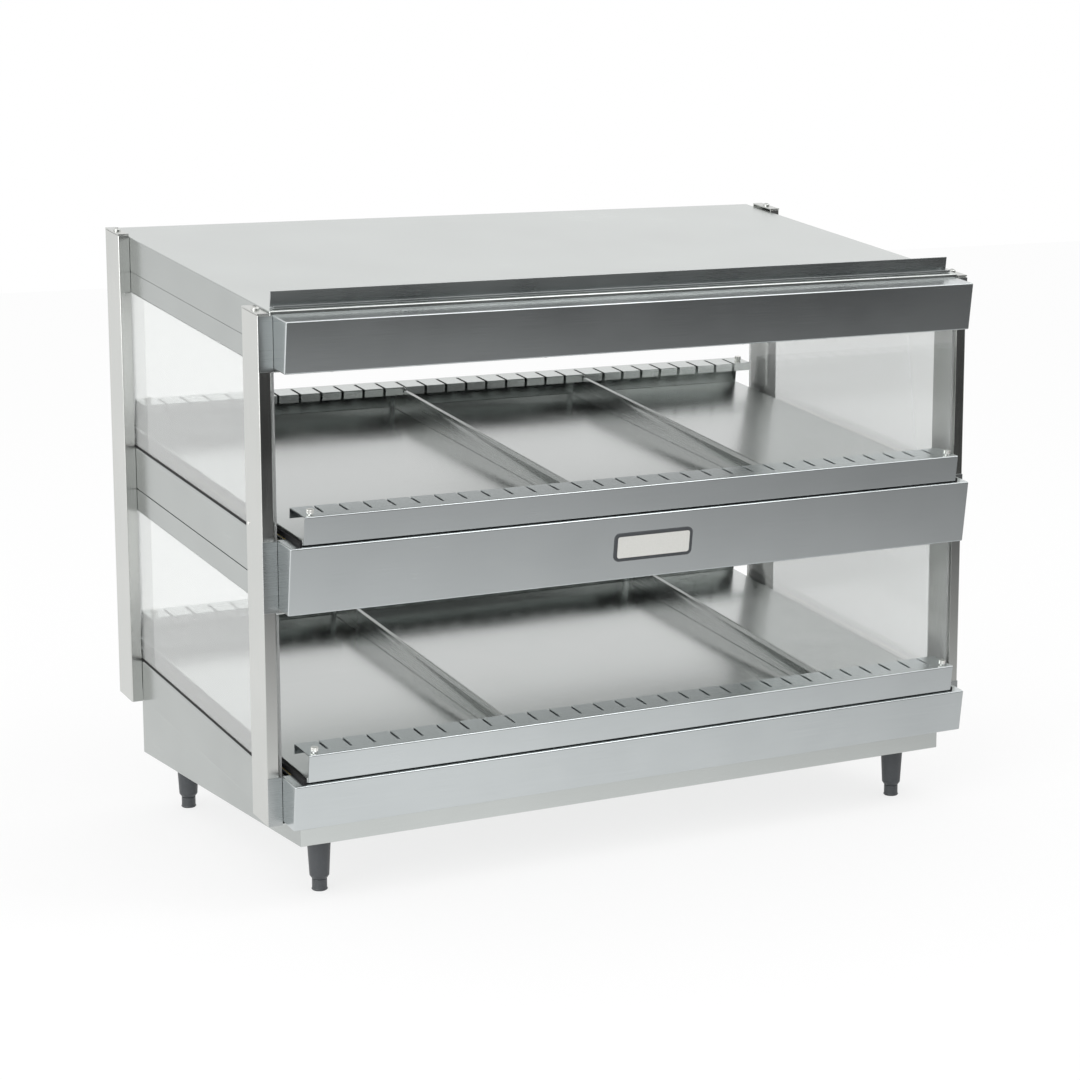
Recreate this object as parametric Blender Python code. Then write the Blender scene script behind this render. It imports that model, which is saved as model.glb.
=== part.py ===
"""Heated shelf merchandiser: two sloping heated shelves under a lit canopy, on four legs.

The origin is on the ground below the middle of the cabinet. X runs to the right along the front, the
front faces -Y and Z is up. Lengths are in metres.

The canopy and both shelves slope down to the front by the same angle. Each is built in its own frame,
an empty on the front top edge of its fascia: X as above, Y back along the slope (called s below) and
Z square to the slope (called t below).
"""

import math

import bmesh
import bpy

# Overall
WIDTH = 0.914
DEPTH = 0.490
SLOPE = math.radians(7.5)
GAP = 0.0003
SHEET = 0.0012
OVERRUN = 0.001
MERGE = 0.00001

FRONT_Y = -DEPTH / 2
REAR_Y = DEPTH / 2
COS = math.cos(SLOPE)
SIN = math.sin(SLOPE)
TAN = math.tan(SLOPE)

# Heights of the front top edges of the three fascias
BASE_EDGE_Z = 0.138
SHELF_EDGE_Z = 0.393
CANOPY_EDGE_Z = 0.629

# Posts: folded channels, open to the inside
POST_DEPTH = 0.0415
POST_FLANGE = 0.0135
POST_SHEET = 0.0015
FRONT_POST_SETBACK = 0.035
REAR_POST_INSET = 0.0155
REAR_POST_RISE = 0.006
CAP_PLATE = 0.0015
CAP_SCREW_RADIUS = 0.0045
CAP_SCREW_HEIGHT = 0.0035

FRONT_POST_Y = FRONT_Y + FRONT_POST_SETBACK
REAR_POST_Y = REAR_Y - REAR_POST_INSET - POST_DEPTH
POST_INNER_X = WIDTH / 2 - POST_FLANGE

# Heated slabs: pan with side ledges, curbs, heater, insulation and deck
SLAB_HALF_WIDTH = POST_INNER_X - GAP
LEDGE_DROP = 0.005
LEDGE_WIDTH = 0.0127
PAN_HEIGHT = 0.0482
CURB_INSET = 0.0140
CURB_DROP = 0.003
DECK_THICKNESS = 0.006
DECK_UNDERSIDE = 0.001
DECK_SIDE_INSET = 0.0192
HEATER_THICKNESS = 0.0006
HEATER_MARGIN = 0.024
INSULATION_START = 0.037
WIRING_ROOM = 0.0337

PAN_TOP = -LEDGE_DROP
PAN_BOTTOM = PAN_TOP - PAN_HEIGHT
DECK_TOP = DECK_UNDERSIDE + DECK_THICKNESS
DECK_HALF_WIDTH = SLAB_HALF_WIDTH - DECK_SIDE_INSET
CURB_HALF_WIDTH = SLAB_HALF_WIDTH - SHEET - CURB_INSET
PAN_FLOOR = PAN_BOTTOM + SHEET

# Fascias: channels, open to the back
FASCIA_END_GAP = 0.0032
CANOPY_FASCIA_HEIGHT = 0.0555
SHELF_FASCIA_HEIGHT = 0.0737
BASE_FASCIA_HEIGHT = 0.0500
FASCIA_HALF_WIDTH = SLAB_HALF_WIDTH - FASCIA_END_GAP

# Rails along the deck's front and rear edges, with a row of slots for the dividers
FRONT_RAIL_SETBACK = 0.0045
FRONT_RAIL_HEIGHT = 0.032
FRONT_RAIL_DEPTH = 0.0395
FRONT_RAIL_LIP = 0.012
FRONT_RAIL_FOOT = 0.0015
REAR_RAIL_HEIGHT = 0.040
REAR_RAIL_DEPTH = 0.033
REAR_RAIL_LIP = 0.010
REAR_RAIL_INSET = 0.002
RAIL_END_INSET = 0.001
SLOT_PITCH = 0.0283
SLOT_WIDTH = 0.0035
SLOT_LENGTH = 0.027
SLOT_END_MARGIN = 0.018
SLOT_END_STEPS = 4

RAIL_HALF_WIDTH = DECK_HALF_WIDTH - RAIL_END_INSET
SLOTS_EACH_SIDE = int((RAIL_HALF_WIDTH - SLOT_END_MARGIN) / SLOT_PITCH)
REAR_RAIL_S = DEPTH - REAR_RAIL_INSET
DECK_FRONT_S = FRONT_RAIL_SETBACK + SHEET + GAP
DECK_REAR_S = REAR_RAIL_S - SHEET - GAP
FRONT_LIP_S = FRONT_RAIL_SETBACK + FRONT_RAIL_DEPTH
REAR_LIP_S = REAR_RAIL_S - REAR_RAIL_DEPTH

# Dividers: upright sheets with a folded hem, dropped into the rails' slots
DIVIDER_SHEET = 0.0015
DIVIDER_END_PLAY = 0.002
DIVIDER_FRONT_HEIGHT = 0.024
DIVIDER_REAR_HEIGHT = 0.029
DIVIDER_REAR_TAB_HEIGHT = 0.0315
HEM_WIDTH = 0.0045
HEM_HEIGHT = 0.005
HEM_END_GAP = 0.0015
SHELF_DIVIDER_SLOTS = (-3, 6)
BASE_DIVIDER_SLOTS = (-6, 9)

# Canopy and the lamp trays under the canopy and the upper shelf
CANOPY_RISE = 0.004
CANOPY_HEIGHT = 0.0392
CANOPY_TRAY_HEIGHT = 0.0240
SHELF_TRAY_HEIGHT = 0.0255
SIGN_END_INSET = 0.0072
SIGN_HEIGHT = 0.017
SIGN_DEPTH = 0.010
SIGN_LIP = 0.003
SIGN_SETBACK = 0.042

SIGN_HALF_WIDTH = SLAB_HALF_WIDTH - SIGN_END_INSET
CANOPY_BOTTOM = CANOPY_RISE - CANOPY_HEIGHT
CANOPY_TRAY_TOP = CANOPY_BOTTOM - GAP
CANOPY_TRAY_BOTTOM = CANOPY_TRAY_TOP - CANOPY_TRAY_HEIGHT
SHELF_TRAY_TOP = PAN_BOTTOM - GAP
SHELF_TRAY_BOTTOM = SHELF_TRAY_TOP - SHELF_TRAY_HEIGHT

# Lamps
LAMP_S = 0.075
LAMP_RADIUS = 0.008
LAMP_HALF_LENGTH = 0.286
LAMP_SOCKET = 0.014
LAMP_HOLDER_DEPTH = 0.026
LAMP_HOLDER_HEIGHT = 0.021
LAMP_WINDOW_DEPTH = 0.044
LAMP_WINDOW_INSET = 0.006

# Clear side panes between the slabs
PANE = 0.003
PANE_SIDE_INSET = 0.0015
PANE_END_INSET = 0.002

# Controls on the rear panels
PANEL_SHEET = 0.0015
PANEL_INSET = 0.018
PANEL_FLANGE = 0.020
KNOB_INSET = 0.124
KNOB_RADIUS = 0.018
KNOB_TAPER = 0.002
KNOB_HEIGHT = 0.010
KNOB_GRIP_WIDTH = 0.007
KNOB_GRIP_HEIGHT = 0.006
KNOB_STANDOFF = 0.0005
SHAFT_RADIUS = 0.003
THERMOSTAT_WIDTH = 0.044
THERMOSTAT_HEIGHT = 0.034
THERMOSTAT_DEPTH = 0.036
SWITCH_SPACING = 0.080
SWITCH_HALF_WIDTH = 0.0078
SWITCH_HALF_HEIGHT = 0.0135
SWITCH_WALL = 0.0018
SWITCH_BEZEL = 0.0020
SWITCH_BEZEL_RIM = 0.0022
SWITCH_DEPTH = 0.020
ROCKER_PIVOT_DEPTH = 0.0045
ROCKER_CLEARANCE = 0.0004
ROCKER_TILT = math.radians(8)
ROCKER_VALLEY = 0.0027
ROCKER_END_ANGLE = math.radians(22)
ROCKER_END_STEPS = 2

KNOB_X = DECK_HALF_WIDTH - KNOB_INSET
SWITCH_X = KNOB_X - SWITCH_SPACING
PANEL_S = REAR_RAIL_S - PANEL_INSET
PANEL_REAR_S = PANEL_S + PANEL_SHEET
INSULATION_END = PANEL_S - GAP - THERMOSTAT_DEPTH - WIRING_ROOM
CONTROL_T = (PAN_FLOOR + PAN_TOP) / 2

# Base skirt, wiring, legs and feet
SKIRT_INSET = 0.0202
SKIRT_SETBACK = 0.028
SKIRT_BOTTOM_Z = 0.063
TERMINAL_WIDTH = 0.060
TERMINAL_DEPTH = 0.024
TERMINAL_HEIGHT = 0.020
GLAND_SIDE_INSET = 0.123
GLAND_REAR_INSET = 0.075
GLAND_HOLE_RADIUS = 0.008
GLAND_FLANGE_RADIUS = 0.012
GLAND_BORE_RADIUS = 0.004
GLAND_DROP = 0.014
GLAND_RISE = 0.009
LEG_SIDE_INSET = 0.039
LEG_FRONT_INSET = 0.039
LEG_REAR_INSET = 0.044
LEG_TOP_RADIUS = 0.0134
LEG_LOW_RADIUS = 0.0109
LEG_END_RADIUS = 0.0085
LEG_END_Z = 0.013
LEG_SHOULDER = 0.004
FOOT_RADIUS = 0.0083
FOOT_RIM_RADIUS = 0.0090
FOOT_RIM_HEIGHT = 0.003
FOOT_CHAMFER = 0.001
STEM_RADIUS = 0.004
STEM_LENGTH = 0.025
STEM_END_PLAY = 0.003

SKIRT_HALF_WIDTH = SLAB_HALF_WIDTH - SKIRT_INSET
SKIRT_FRONT_Y = FRONT_Y + SKIRT_SETBACK
GLAND_X = SKIRT_HALF_WIDTH - GLAND_SIDE_INSET
GLAND_Y = REAR_Y - GLAND_REAR_INSET
LEG_X = SKIRT_HALF_WIDTH - LEG_SIDE_INSET
FRONT_LEG_Y = SKIRT_FRONT_Y + LEG_FRONT_INSET
REAR_LEG_Y = REAR_Y - LEG_REAR_INSET

ROUND_STEPS = 32
SMOOTH_ANGLE = math.radians(35)

SIDES = {"left": -1, "right": 1}

# A box's corners are numbered 4 * right + 2 * rear + upper
BOX_SIDES = {
    "left": (0, 1, 3, 2),
    "right": (4, 6, 7, 5),
    "front": (0, 4, 5, 1),
    "rear": (2, 3, 7, 6),
    "under": (0, 2, 6, 4),
    "top": (1, 5, 7, 3),
}


def upright(y):
    """The upright plane at world y, as s for a given t in a sloping frame."""
    return lambda t: (y - FRONT_Y + t * SIN) / COS


def square(s):
    """The plane square to the slope at s."""
    return lambda t: s


def level(z):
    """The level plane at height z, as z for a given world y."""
    return lambda y: z


def sloping(edge_z, t):
    """The plane t of the sloping frame with its edge at edge_z, as z for a given world y."""
    return lambda y: edge_z + (y - FRONT_Y) * TAN + t / COS


def slope_corners(half_width, front, rear, low, high, x=0.0):
    """Corners of a box in a sloping frame; front and rear are planes."""
    return [
        (x + side * half_width, end(t), t)
        for side in (-1, 1)
        for end in (front, rear)
        for t in (low, high)
    ]


def world_corners(half_width, front, rear, low, high, x=0.0):
    """Corners of a box in world axes; low and high are planes."""
    return [
        (x + side * half_width, y, plane(y))
        for side in (-1, 1)
        for y in (front, rear)
        for plane in (low, high)
    ]


def moved(plane, distance):
    """A plane shifted along its own direction."""
    return lambda value: plane(value) + distance


def finish(name, colour, roughness, metallic=0.0, alpha=1.0):
    """A Principled material."""
    material = bpy.data.materials.new(name)
    material.use_nodes = True
    shader = material.node_tree.nodes["Principled BSDF"]
    shader.inputs["Base Color"].default_value = (*colour, 1.0)
    shader.inputs["Roughness"].default_value = roughness
    shader.inputs["Metallic"].default_value = metallic
    shader.inputs["Alpha"].default_value = alpha
    return material


def add_object(name, bm, material, parent=None, at=(0.0, 0.0, 0.0), turn=(0.0, 0.0, 0.0), smooth=False):
    """An object made from a bmesh, with its faces pointing out."""
    bmesh.ops.recalc_face_normals(bm, faces=bm.faces)
    mesh = bpy.data.meshes.new(name)
    bm.to_mesh(mesh)
    bm.free()
    if smooth:
        mesh.shade_smooth()
        mesh.set_sharp_from_angle(angle=SMOOTH_ANGLE)
    if material is not None:
        mesh.materials.append(material)
    piece = bpy.data.objects.new(name, mesh)
    bpy.context.scene.collection.objects.link(piece)
    piece.parent = parent
    piece.location = at
    piece.rotation_euler = turn
    return piece


def box(name, corners, material, parent=None, **placing):
    """A solid box between eight corners."""
    bm = bmesh.new()
    verts = [bm.verts.new(corner) for corner in corners]
    for side in BOX_SIDES.values():
        bm.faces.new([verts[i] for i in side])
    return add_object(name, bm, material, parent, **placing)


def open_box(name, outer, inner, open_side, material, parent=None):
    """A sheet box that is open on one side."""
    bm = bmesh.new()
    outside = [bm.verts.new(corner) for corner in outer]
    inside = [bm.verts.new(corner) for corner in inner]
    for name_of_side, side in BOX_SIDES.items():
        if name_of_side != open_side:
            bm.faces.new([outside[i] for i in side])
            bm.faces.new([inside[i] for i in reversed(side)])
    rim = BOX_SIDES[open_side]
    for start, end in zip(rim, rim[1:] + rim[:1]):
        bm.faces.new((outside[start], outside[end], inside[end], inside[start]))
    return add_object(name, bm, material, parent)


def prism(name, outline, start, end, material, parent=None, **placing):
    """An outline extruded from one place to another; start and end map its points into space."""
    bm = bmesh.new()
    number = bm.verts.layers.int.new("outline point")
    for index, point in enumerate(outline):
        bm.verts.new(start(*point))[number] = index
    face = bm.faces.new(list(bm.verts))
    extruded = bmesh.ops.extrude_face_region(bm, geom=[face], use_keep_orig=True)["geom"]
    for vert in (item for item in extruded if isinstance(item, bmesh.types.BMVert)):
        vert.co = end(*outline[vert[number]])
    return add_object(name, bm, material, parent, **placing)


def turned(name, outline, material, parent=None, ring=False, **placing):
    """An outline of (radius, height) points turned about Z; a ring's outline closes on itself."""
    bm = bmesh.new()
    verts = [bm.verts.new((radius, 0.0, height)) for radius, height in outline]
    pairs = list(zip(verts, verts[1:] + verts[:1])) if ring else list(zip(verts, verts[1:]))
    edges = [bm.edges.new(pair) for pair in pairs]
    bmesh.ops.spin(
        bm,
        geom=verts + edges,
        cent=(0, 0, 0),
        axis=(0, 0, 1),
        angle=math.tau,
        steps=ROUND_STEPS,
        use_merge=True,
    )
    bmesh.ops.remove_doubles(bm, verts=bm.verts, dist=MERGE)
    return add_object(name, bm, material, parent, smooth=True, **placing)


def along_x(half_width, x=0.0):
    """The two ends of a prism whose (s, t) outline runs along X."""
    return (lambda s, t: (x - half_width, s, t)), (lambda s, t: (x + half_width, s, t))


def combine(piece, tool, operation):
    """Joins a tool shape to a piece, or cuts it away."""
    tool.hide_render = True
    tool.display_type = "WIRE"
    modifier = piece.modifiers.new(tool.name, "BOOLEAN")
    modifier.operation = operation
    modifier.solver = "EXACT"
    modifier.object = tool


def disc(name, radius, low, high, parent, **placing):
    """A plain cylinder about Z."""
    outline = [(0.0, low), (radius, low), (radius, high), (0.0, high)]
    return turned(name, outline, None, parent, **placing)


def frame_at(name, edge_z):
    """The sloping frame of one slab."""
    frame = bpy.data.objects.new(name, None)
    bpy.context.scene.collection.objects.link(frame)
    frame.location = (0.0, FRONT_Y, edge_z)
    frame.rotation_euler = (SLOPE, 0.0, 0.0)
    return frame


def add_post(end, side, front_y, rise, steel):
    """One folded corner post with its cap."""
    outer = SIDES[side] * WIDTH / 2
    inner = SIDES[side] * POST_INNER_X
    web = outer - SIDES[side] * POST_SHEET
    rear_y = front_y + POST_DEPTH
    outline = [
        (inner, front_y),
        (outer, front_y),
        (outer, rear_y),
        (inner, rear_y),
        (inner, rear_y - POST_SHEET),
        (web, rear_y - POST_SHEET),
        (web, front_y + POST_SHEET),
        (inner, front_y + POST_SHEET),
    ]
    foot = sloping(BASE_EDGE_Z, PAN_BOTTOM)
    head = sloping(CANOPY_EDGE_Z, rise)
    name = f"post_{end}_{side}"
    prism(name, outline, lambda x, y: (x, y, foot(y)), lambda x, y: (x, y, head(y)), steel)

    low = sloping(CANOPY_EDGE_Z, rise + GAP)
    high = sloping(CANOPY_EDGE_Z, rise + GAP + CAP_PLATE)
    plate = [(inner, front_y), (outer, front_y), (outer, rear_y), (inner, rear_y)]
    name = f"post_cap_{end}_{side}"
    cap = prism(name, plate, lambda x, y: (x, y, low(y)), lambda x, y: (x, y, high(y)), steel)
    middle_x = (outer + inner) / 2
    middle_y = (front_y + rear_y) / 2
    head_of_screw = disc(
        f"cap_screw_shape_{end}_{side}",
        CAP_SCREW_RADIUS,
        -CAP_PLATE / 2,
        CAP_SCREW_HEIGHT,
        None,
        at=(middle_x, middle_y, high(middle_y)),
        turn=(SLOPE, 0.0, 0.0),
    )
    combine(cap, head_of_screw, "UNION")


def add_pane(name, side, edge_z, upper_edge_z, upper_t, glass, frame):
    """A clear side pane, from the ledge of a pan up to the slab above."""
    high = (upper_edge_z - edge_z) * COS + upper_t - GAP
    outer = SLAB_HALF_WIDTH - PANE_SIDE_INSET
    corners = slope_corners(
        PANE / 2,
        upright(FRONT_POST_Y + PANE_END_INSET),
        upright(REAR_POST_Y + POST_DEPTH - PANE_END_INSET),
        PAN_TOP + GAP,
        high,
        SIDES[side] * (outer - PANE / 2),
    )
    box(name, corners, glass, frame)


def add_fascia(name, height, steel, frame):
    """A fascia channel with closed ends, open towards the posts."""
    back = moved(upright(FRONT_POST_Y), -GAP)
    outer = slope_corners(FASCIA_HALF_WIDTH, square(0.0), back, -height, 0.0)
    inner = slope_corners(FASCIA_HALF_WIDTH - SHEET, square(SHEET), back, SHEET - height, -SHEET)
    open_box(name, outer, inner, "rear", steel, frame)


def add_pan(name, steel, frame):
    """The body of a heated slab: outer aprons with ledges for the panes, and curbs round the heater."""
    outer = SLAB_HALF_WIDTH
    right_half = [
        (CURB_HALF_WIDTH - SHEET, PAN_FLOOR),
        (CURB_HALF_WIDTH - SHEET, -CURB_DROP),
        (CURB_HALF_WIDTH, -CURB_DROP),
        (CURB_HALF_WIDTH, PAN_FLOOR),
        (outer - SHEET, PAN_FLOOR),
        (outer - SHEET, PAN_TOP - SHEET),
        (outer - LEDGE_WIDTH, PAN_TOP - SHEET),
        (outer - LEDGE_WIDTH, PAN_TOP),
        (outer, PAN_TOP),
        (outer, PAN_BOTTOM),
    ]
    outline = right_half + [(-x, t) for x, t in reversed(right_half)]
    front = upright(FRONT_POST_Y)
    rear = upright(REAR_Y)
    prism(name, outline, lambda x, t: (x, front(t), t), lambda x, t: (x, rear(t), t), steel, frame)


def row_of_slots(name, tip, mouth, low, high, parent):
    """A cutter for a rail's row of slots, each with a round end at tip and open towards mouth."""
    radius = SLOT_WIDTH / 2
    centre = tip + math.copysign(radius, mouth - tip)
    arc = [math.pi * n / SLOT_END_STEPS for n in range(SLOT_END_STEPS + 1)]
    outline = [(radius * math.cos(a), centre + (tip - centre) * math.sin(a)) for a in arc]
    outline += [(-radius, mouth), (radius, mouth)]
    bm = bmesh.new()
    for n in range(-SLOTS_EACH_SIDE, SLOTS_EACH_SIDE + 1):
        x = SLOT_PITCH * n
        face = bm.faces.new([bm.verts.new((x + across, s, low)) for across, s in outline])
        extruded = bmesh.ops.extrude_face_region(bm, geom=[face], use_keep_orig=True)["geom"]
        upper = [item for item in extruded if isinstance(item, bmesh.types.BMVert)]
        bmesh.ops.translate(bm, verts=upper, vec=(0.0, 0.0, high - low))
    return add_object(name, bm, None, parent)


def add_front_rail(name, steel, frame):
    """The rail over the deck's front edge: wall, slotted flange and comb lip."""
    front = FRONT_RAIL_SETBACK
    outline = [
        (front, FRONT_RAIL_FOOT),
        (front, FRONT_RAIL_HEIGHT),
        (FRONT_LIP_S, FRONT_RAIL_HEIGHT),
        (FRONT_LIP_S, FRONT_RAIL_HEIGHT - FRONT_RAIL_LIP),
        (FRONT_LIP_S - SHEET, FRONT_RAIL_HEIGHT - FRONT_RAIL_LIP),
        (FRONT_LIP_S - SHEET, FRONT_RAIL_HEIGHT - SHEET),
        (front + SHEET, FRONT_RAIL_HEIGHT - SHEET),
        (front + SHEET, FRONT_RAIL_FOOT),
    ]
    rail = prism(name, outline, *along_x(RAIL_HALF_WIDTH), steel, frame)
    slots = row_of_slots(
        f"{name}_slots",
        FRONT_LIP_S - SLOT_LENGTH,
        FRONT_LIP_S + OVERRUN,
        FRONT_RAIL_HEIGHT - FRONT_RAIL_LIP - OVERRUN,
        FRONT_RAIL_HEIGHT + OVERRUN,
        frame,
    )
    combine(rail, slots, "DIFFERENCE")


def add_rear_rail(name, steel, frame):
    """The taller rail behind the deck, its slotted flange reaching forward over it."""
    rear = REAR_RAIL_S
    outline = [
        (rear, GAP),
        (rear, REAR_RAIL_HEIGHT),
        (REAR_LIP_S, REAR_RAIL_HEIGHT),
        (REAR_LIP_S, REAR_RAIL_HEIGHT - REAR_RAIL_LIP),
        (REAR_LIP_S + SHEET, REAR_RAIL_HEIGHT - REAR_RAIL_LIP),
        (REAR_LIP_S + SHEET, REAR_RAIL_HEIGHT - SHEET),
        (rear - SHEET, REAR_RAIL_HEIGHT - SHEET),
        (rear - SHEET, GAP),
    ]
    rail = prism(name, outline, *along_x(RAIL_HALF_WIDTH), steel, frame)
    slots = row_of_slots(
        f"{name}_slots",
        REAR_LIP_S + SLOT_LENGTH,
        REAR_LIP_S - OVERRUN,
        REAR_RAIL_HEIGHT - REAR_RAIL_LIP - OVERRUN,
        REAR_RAIL_HEIGHT + OVERRUN,
        frame,
    )
    combine(rail, slots, "DIFFERENCE")


def add_divider(name, slot, steel, frame):
    """A lane divider, standing on the deck with its end tabs in the rails' slots."""
    low = DECK_TOP + GAP
    front_top = DECK_TOP + DIVIDER_FRONT_HEIGHT
    rear_top = DECK_TOP + DIVIDER_REAR_HEIGHT
    tab_top = DECK_TOP + DIVIDER_REAR_TAB_HEIGHT
    front = FRONT_LIP_S - SLOT_LENGTH + DIVIDER_END_PLAY
    rear = REAR_LIP_S + SLOT_LENGTH - DIVIDER_END_PLAY
    hem_front = FRONT_LIP_S + HEM_END_GAP
    hem_rear = REAR_LIP_S - HEM_END_GAP
    outline = [
        (front, low),
        (front, front_top),
        (hem_front, front_top),
        (hem_rear, rear_top),
        (hem_rear, tab_top),
        (rear, tab_top),
        (rear, low),
    ]
    at = (slot * SLOT_PITCH, 0.0, 0.0)
    divider = prism(name, outline, *along_x(DIVIDER_SHEET / 2), steel, frame, at=at)
    hem_outline = [
        (hem_front, front_top - HEM_HEIGHT),
        (hem_front, front_top),
        (hem_rear, rear_top),
        (hem_rear, rear_top - HEM_HEIGHT),
    ]
    hem = prism(f"{name}_hem", hem_outline, *along_x(HEM_WIDTH / 2), None, frame, at=at)
    combine(divider, hem, "UNION")


def add_control_panel(prefix, steel, frame):
    """The rear panel of a heated slab, with holes for the knob's shaft and the switch."""
    half_width = CURB_HALF_WIDTH - SHEET - GAP
    outline = [
        (PANEL_S, PAN_FLOOR + GAP),
        (PANEL_S, 0.0),
        (PANEL_S + PANEL_FLANGE, 0.0),
        (PANEL_S + PANEL_FLANGE, -PANEL_SHEET),
        (PANEL_REAR_S, -PANEL_SHEET),
        (PANEL_REAR_S, PAN_FLOOR + GAP),
    ]
    panel = prism(f"{prefix}_control_panel", outline, *along_x(half_width), steel, frame)
    shaft_hole = disc(
        f"{prefix}_shaft_hole",
        SHAFT_RADIUS + GAP,
        -OVERRUN,
        PANEL_SHEET + OVERRUN,
        frame,
        at=(KNOB_X, PANEL_S, CONTROL_T),
        turn=(-math.pi / 2, 0.0, 0.0),
    )
    combine(panel, shaft_hole, "DIFFERENCE")
    hole_corners = slope_corners(
        SWITCH_HALF_WIDTH + GAP,
        square(PANEL_S - OVERRUN),
        square(PANEL_REAR_S + OVERRUN),
        CONTROL_T - SWITCH_HALF_HEIGHT - GAP,
        CONTROL_T + SWITCH_HALF_HEIGHT + GAP,
        SWITCH_X,
    )
    switch_hole = box(f"{prefix}_switch_hole", hole_corners, None, frame)
    combine(panel, switch_hole, "DIFFERENCE")


def add_thermostat(prefix, metal, plastic, frame):
    """A thermostat body behind the panel, and its knob on the outside."""
    back = PANEL_S - GAP
    box(
        f"{prefix}_thermostat",
        slope_corners(
            THERMOSTAT_WIDTH / 2,
            square(back - THERMOSTAT_DEPTH),
            square(back),
            CONTROL_T - THERMOSTAT_HEIGHT / 2,
            CONTROL_T + THERMOSTAT_HEIGHT / 2,
            KNOB_X,
        ),
        metal,
        frame,
    )
    knob_low = PANEL_SHEET + KNOB_STANDOFF
    knob_high = knob_low + KNOB_HEIGHT
    outline = [
        (0.0, 0.0),
        (SHAFT_RADIUS, 0.0),
        (SHAFT_RADIUS, knob_low),
        (KNOB_RADIUS, knob_low),
        (KNOB_RADIUS - KNOB_TAPER, knob_high),
        (0.0, knob_high),
    ]
    place = {"at": (KNOB_X, PANEL_S, CONTROL_T), "turn": (-math.pi / 2, 0.0, 0.0)}
    knob = turned(f"{prefix}_knob", outline, plastic, frame, **place)
    grip_reach = KNOB_RADIUS - 2 * KNOB_TAPER
    grip_low = level(knob_high - KNOB_TAPER)
    grip_high = level(knob_high + KNOB_GRIP_HEIGHT)
    grip_corners = world_corners(KNOB_GRIP_WIDTH / 2, -grip_reach, grip_reach, grip_low, grip_high)
    grip = box(f"{prefix}_knob_grip", grip_corners, None, frame, **place)
    combine(knob, grip, "UNION")


def add_switch(name, plastic, frame):
    """A rocker switch: a housing through the panel and a rocker that tips in it."""
    face = PANEL_REAR_S + SWITCH_BEZEL
    wall = SWITCH_WALL
    low = CONTROL_T - SWITCH_HALF_HEIGHT
    high = CONTROL_T + SWITCH_HALF_HEIGHT
    body_rear = square(face - SWITCH_BEZEL / 2)
    body = slope_corners(SWITCH_HALF_WIDTH, square(face - SWITCH_DEPTH), body_rear, low, high, SWITCH_X)
    housing = box(f"{name}_housing", body, plastic, frame)
    rim_corners = slope_corners(
        SWITCH_HALF_WIDTH + SWITCH_BEZEL_RIM,
        square(PANEL_REAR_S + GAP),
        square(face),
        low - SWITCH_BEZEL_RIM,
        high + SWITCH_BEZEL_RIM,
        SWITCH_X,
    )
    rim = box(f"{name}_rim", rim_corners, None, frame)
    combine(housing, rim, "UNION")
    recess_corners = slope_corners(
        SWITCH_HALF_WIDTH - wall,
        square(face - SWITCH_DEPTH + wall),
        square(face + OVERRUN),
        low + wall,
        high - wall,
        SWITCH_X,
    )
    recess = box(f"{name}_recess", recess_corners, None, frame)
    combine(housing, recess, "DIFFERENCE")

    reach = SWITCH_HALF_HEIGHT - wall - ROCKER_CLEARANCE
    steps = range(-ROCKER_END_STEPS, ROCKER_END_STEPS + 1)
    end_angles = [ROCKER_END_ANGLE * n / ROCKER_END_STEPS for n in steps]
    upper = [(reach * math.sin(angle), reach * math.cos(angle)) for angle in end_angles]
    lower = [(s, -t) for s, t in reversed(upper)]
    outline = upper + [(ROCKER_VALLEY, 0.0)] + lower
    prism(
        name,
        outline,
        *along_x(SWITCH_HALF_WIDTH - wall - ROCKER_CLEARANCE),
        plastic,
        frame,
        at=(SWITCH_X, face - ROCKER_PIVOT_DEPTH, CONTROL_T),
        turn=(-ROCKER_TILT, 0.0, 0.0),
    )


def add_lamp_tray(name, top, bottom, steel, frame):
    """A shallow tray under a slab, with a window for its lamp; returns the level of its floor."""
    front = upright(FRONT_POST_Y)
    rear = upright(REAR_Y)
    outer = slope_corners(SLAB_HALF_WIDTH, front, rear, bottom, top)
    inner = slope_corners(
        SLAB_HALF_WIDTH - SHEET, moved(front, SHEET), moved(rear, -SHEET), bottom + SHEET, top
    )
    tray = open_box(name, outer, inner, "top", steel, frame)
    window_corners = slope_corners(
        LAMP_HALF_LENGTH - LAMP_WINDOW_INSET,
        square(LAMP_S - LAMP_WINDOW_DEPTH / 2),
        square(LAMP_S + LAMP_WINDOW_DEPTH / 2),
        bottom - OVERRUN,
        bottom + SHEET + OVERRUN,
    )
    window = box(f"{name}_window", window_corners, None, frame)
    combine(tray, window, "DIFFERENCE")
    return bottom + SHEET


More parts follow.
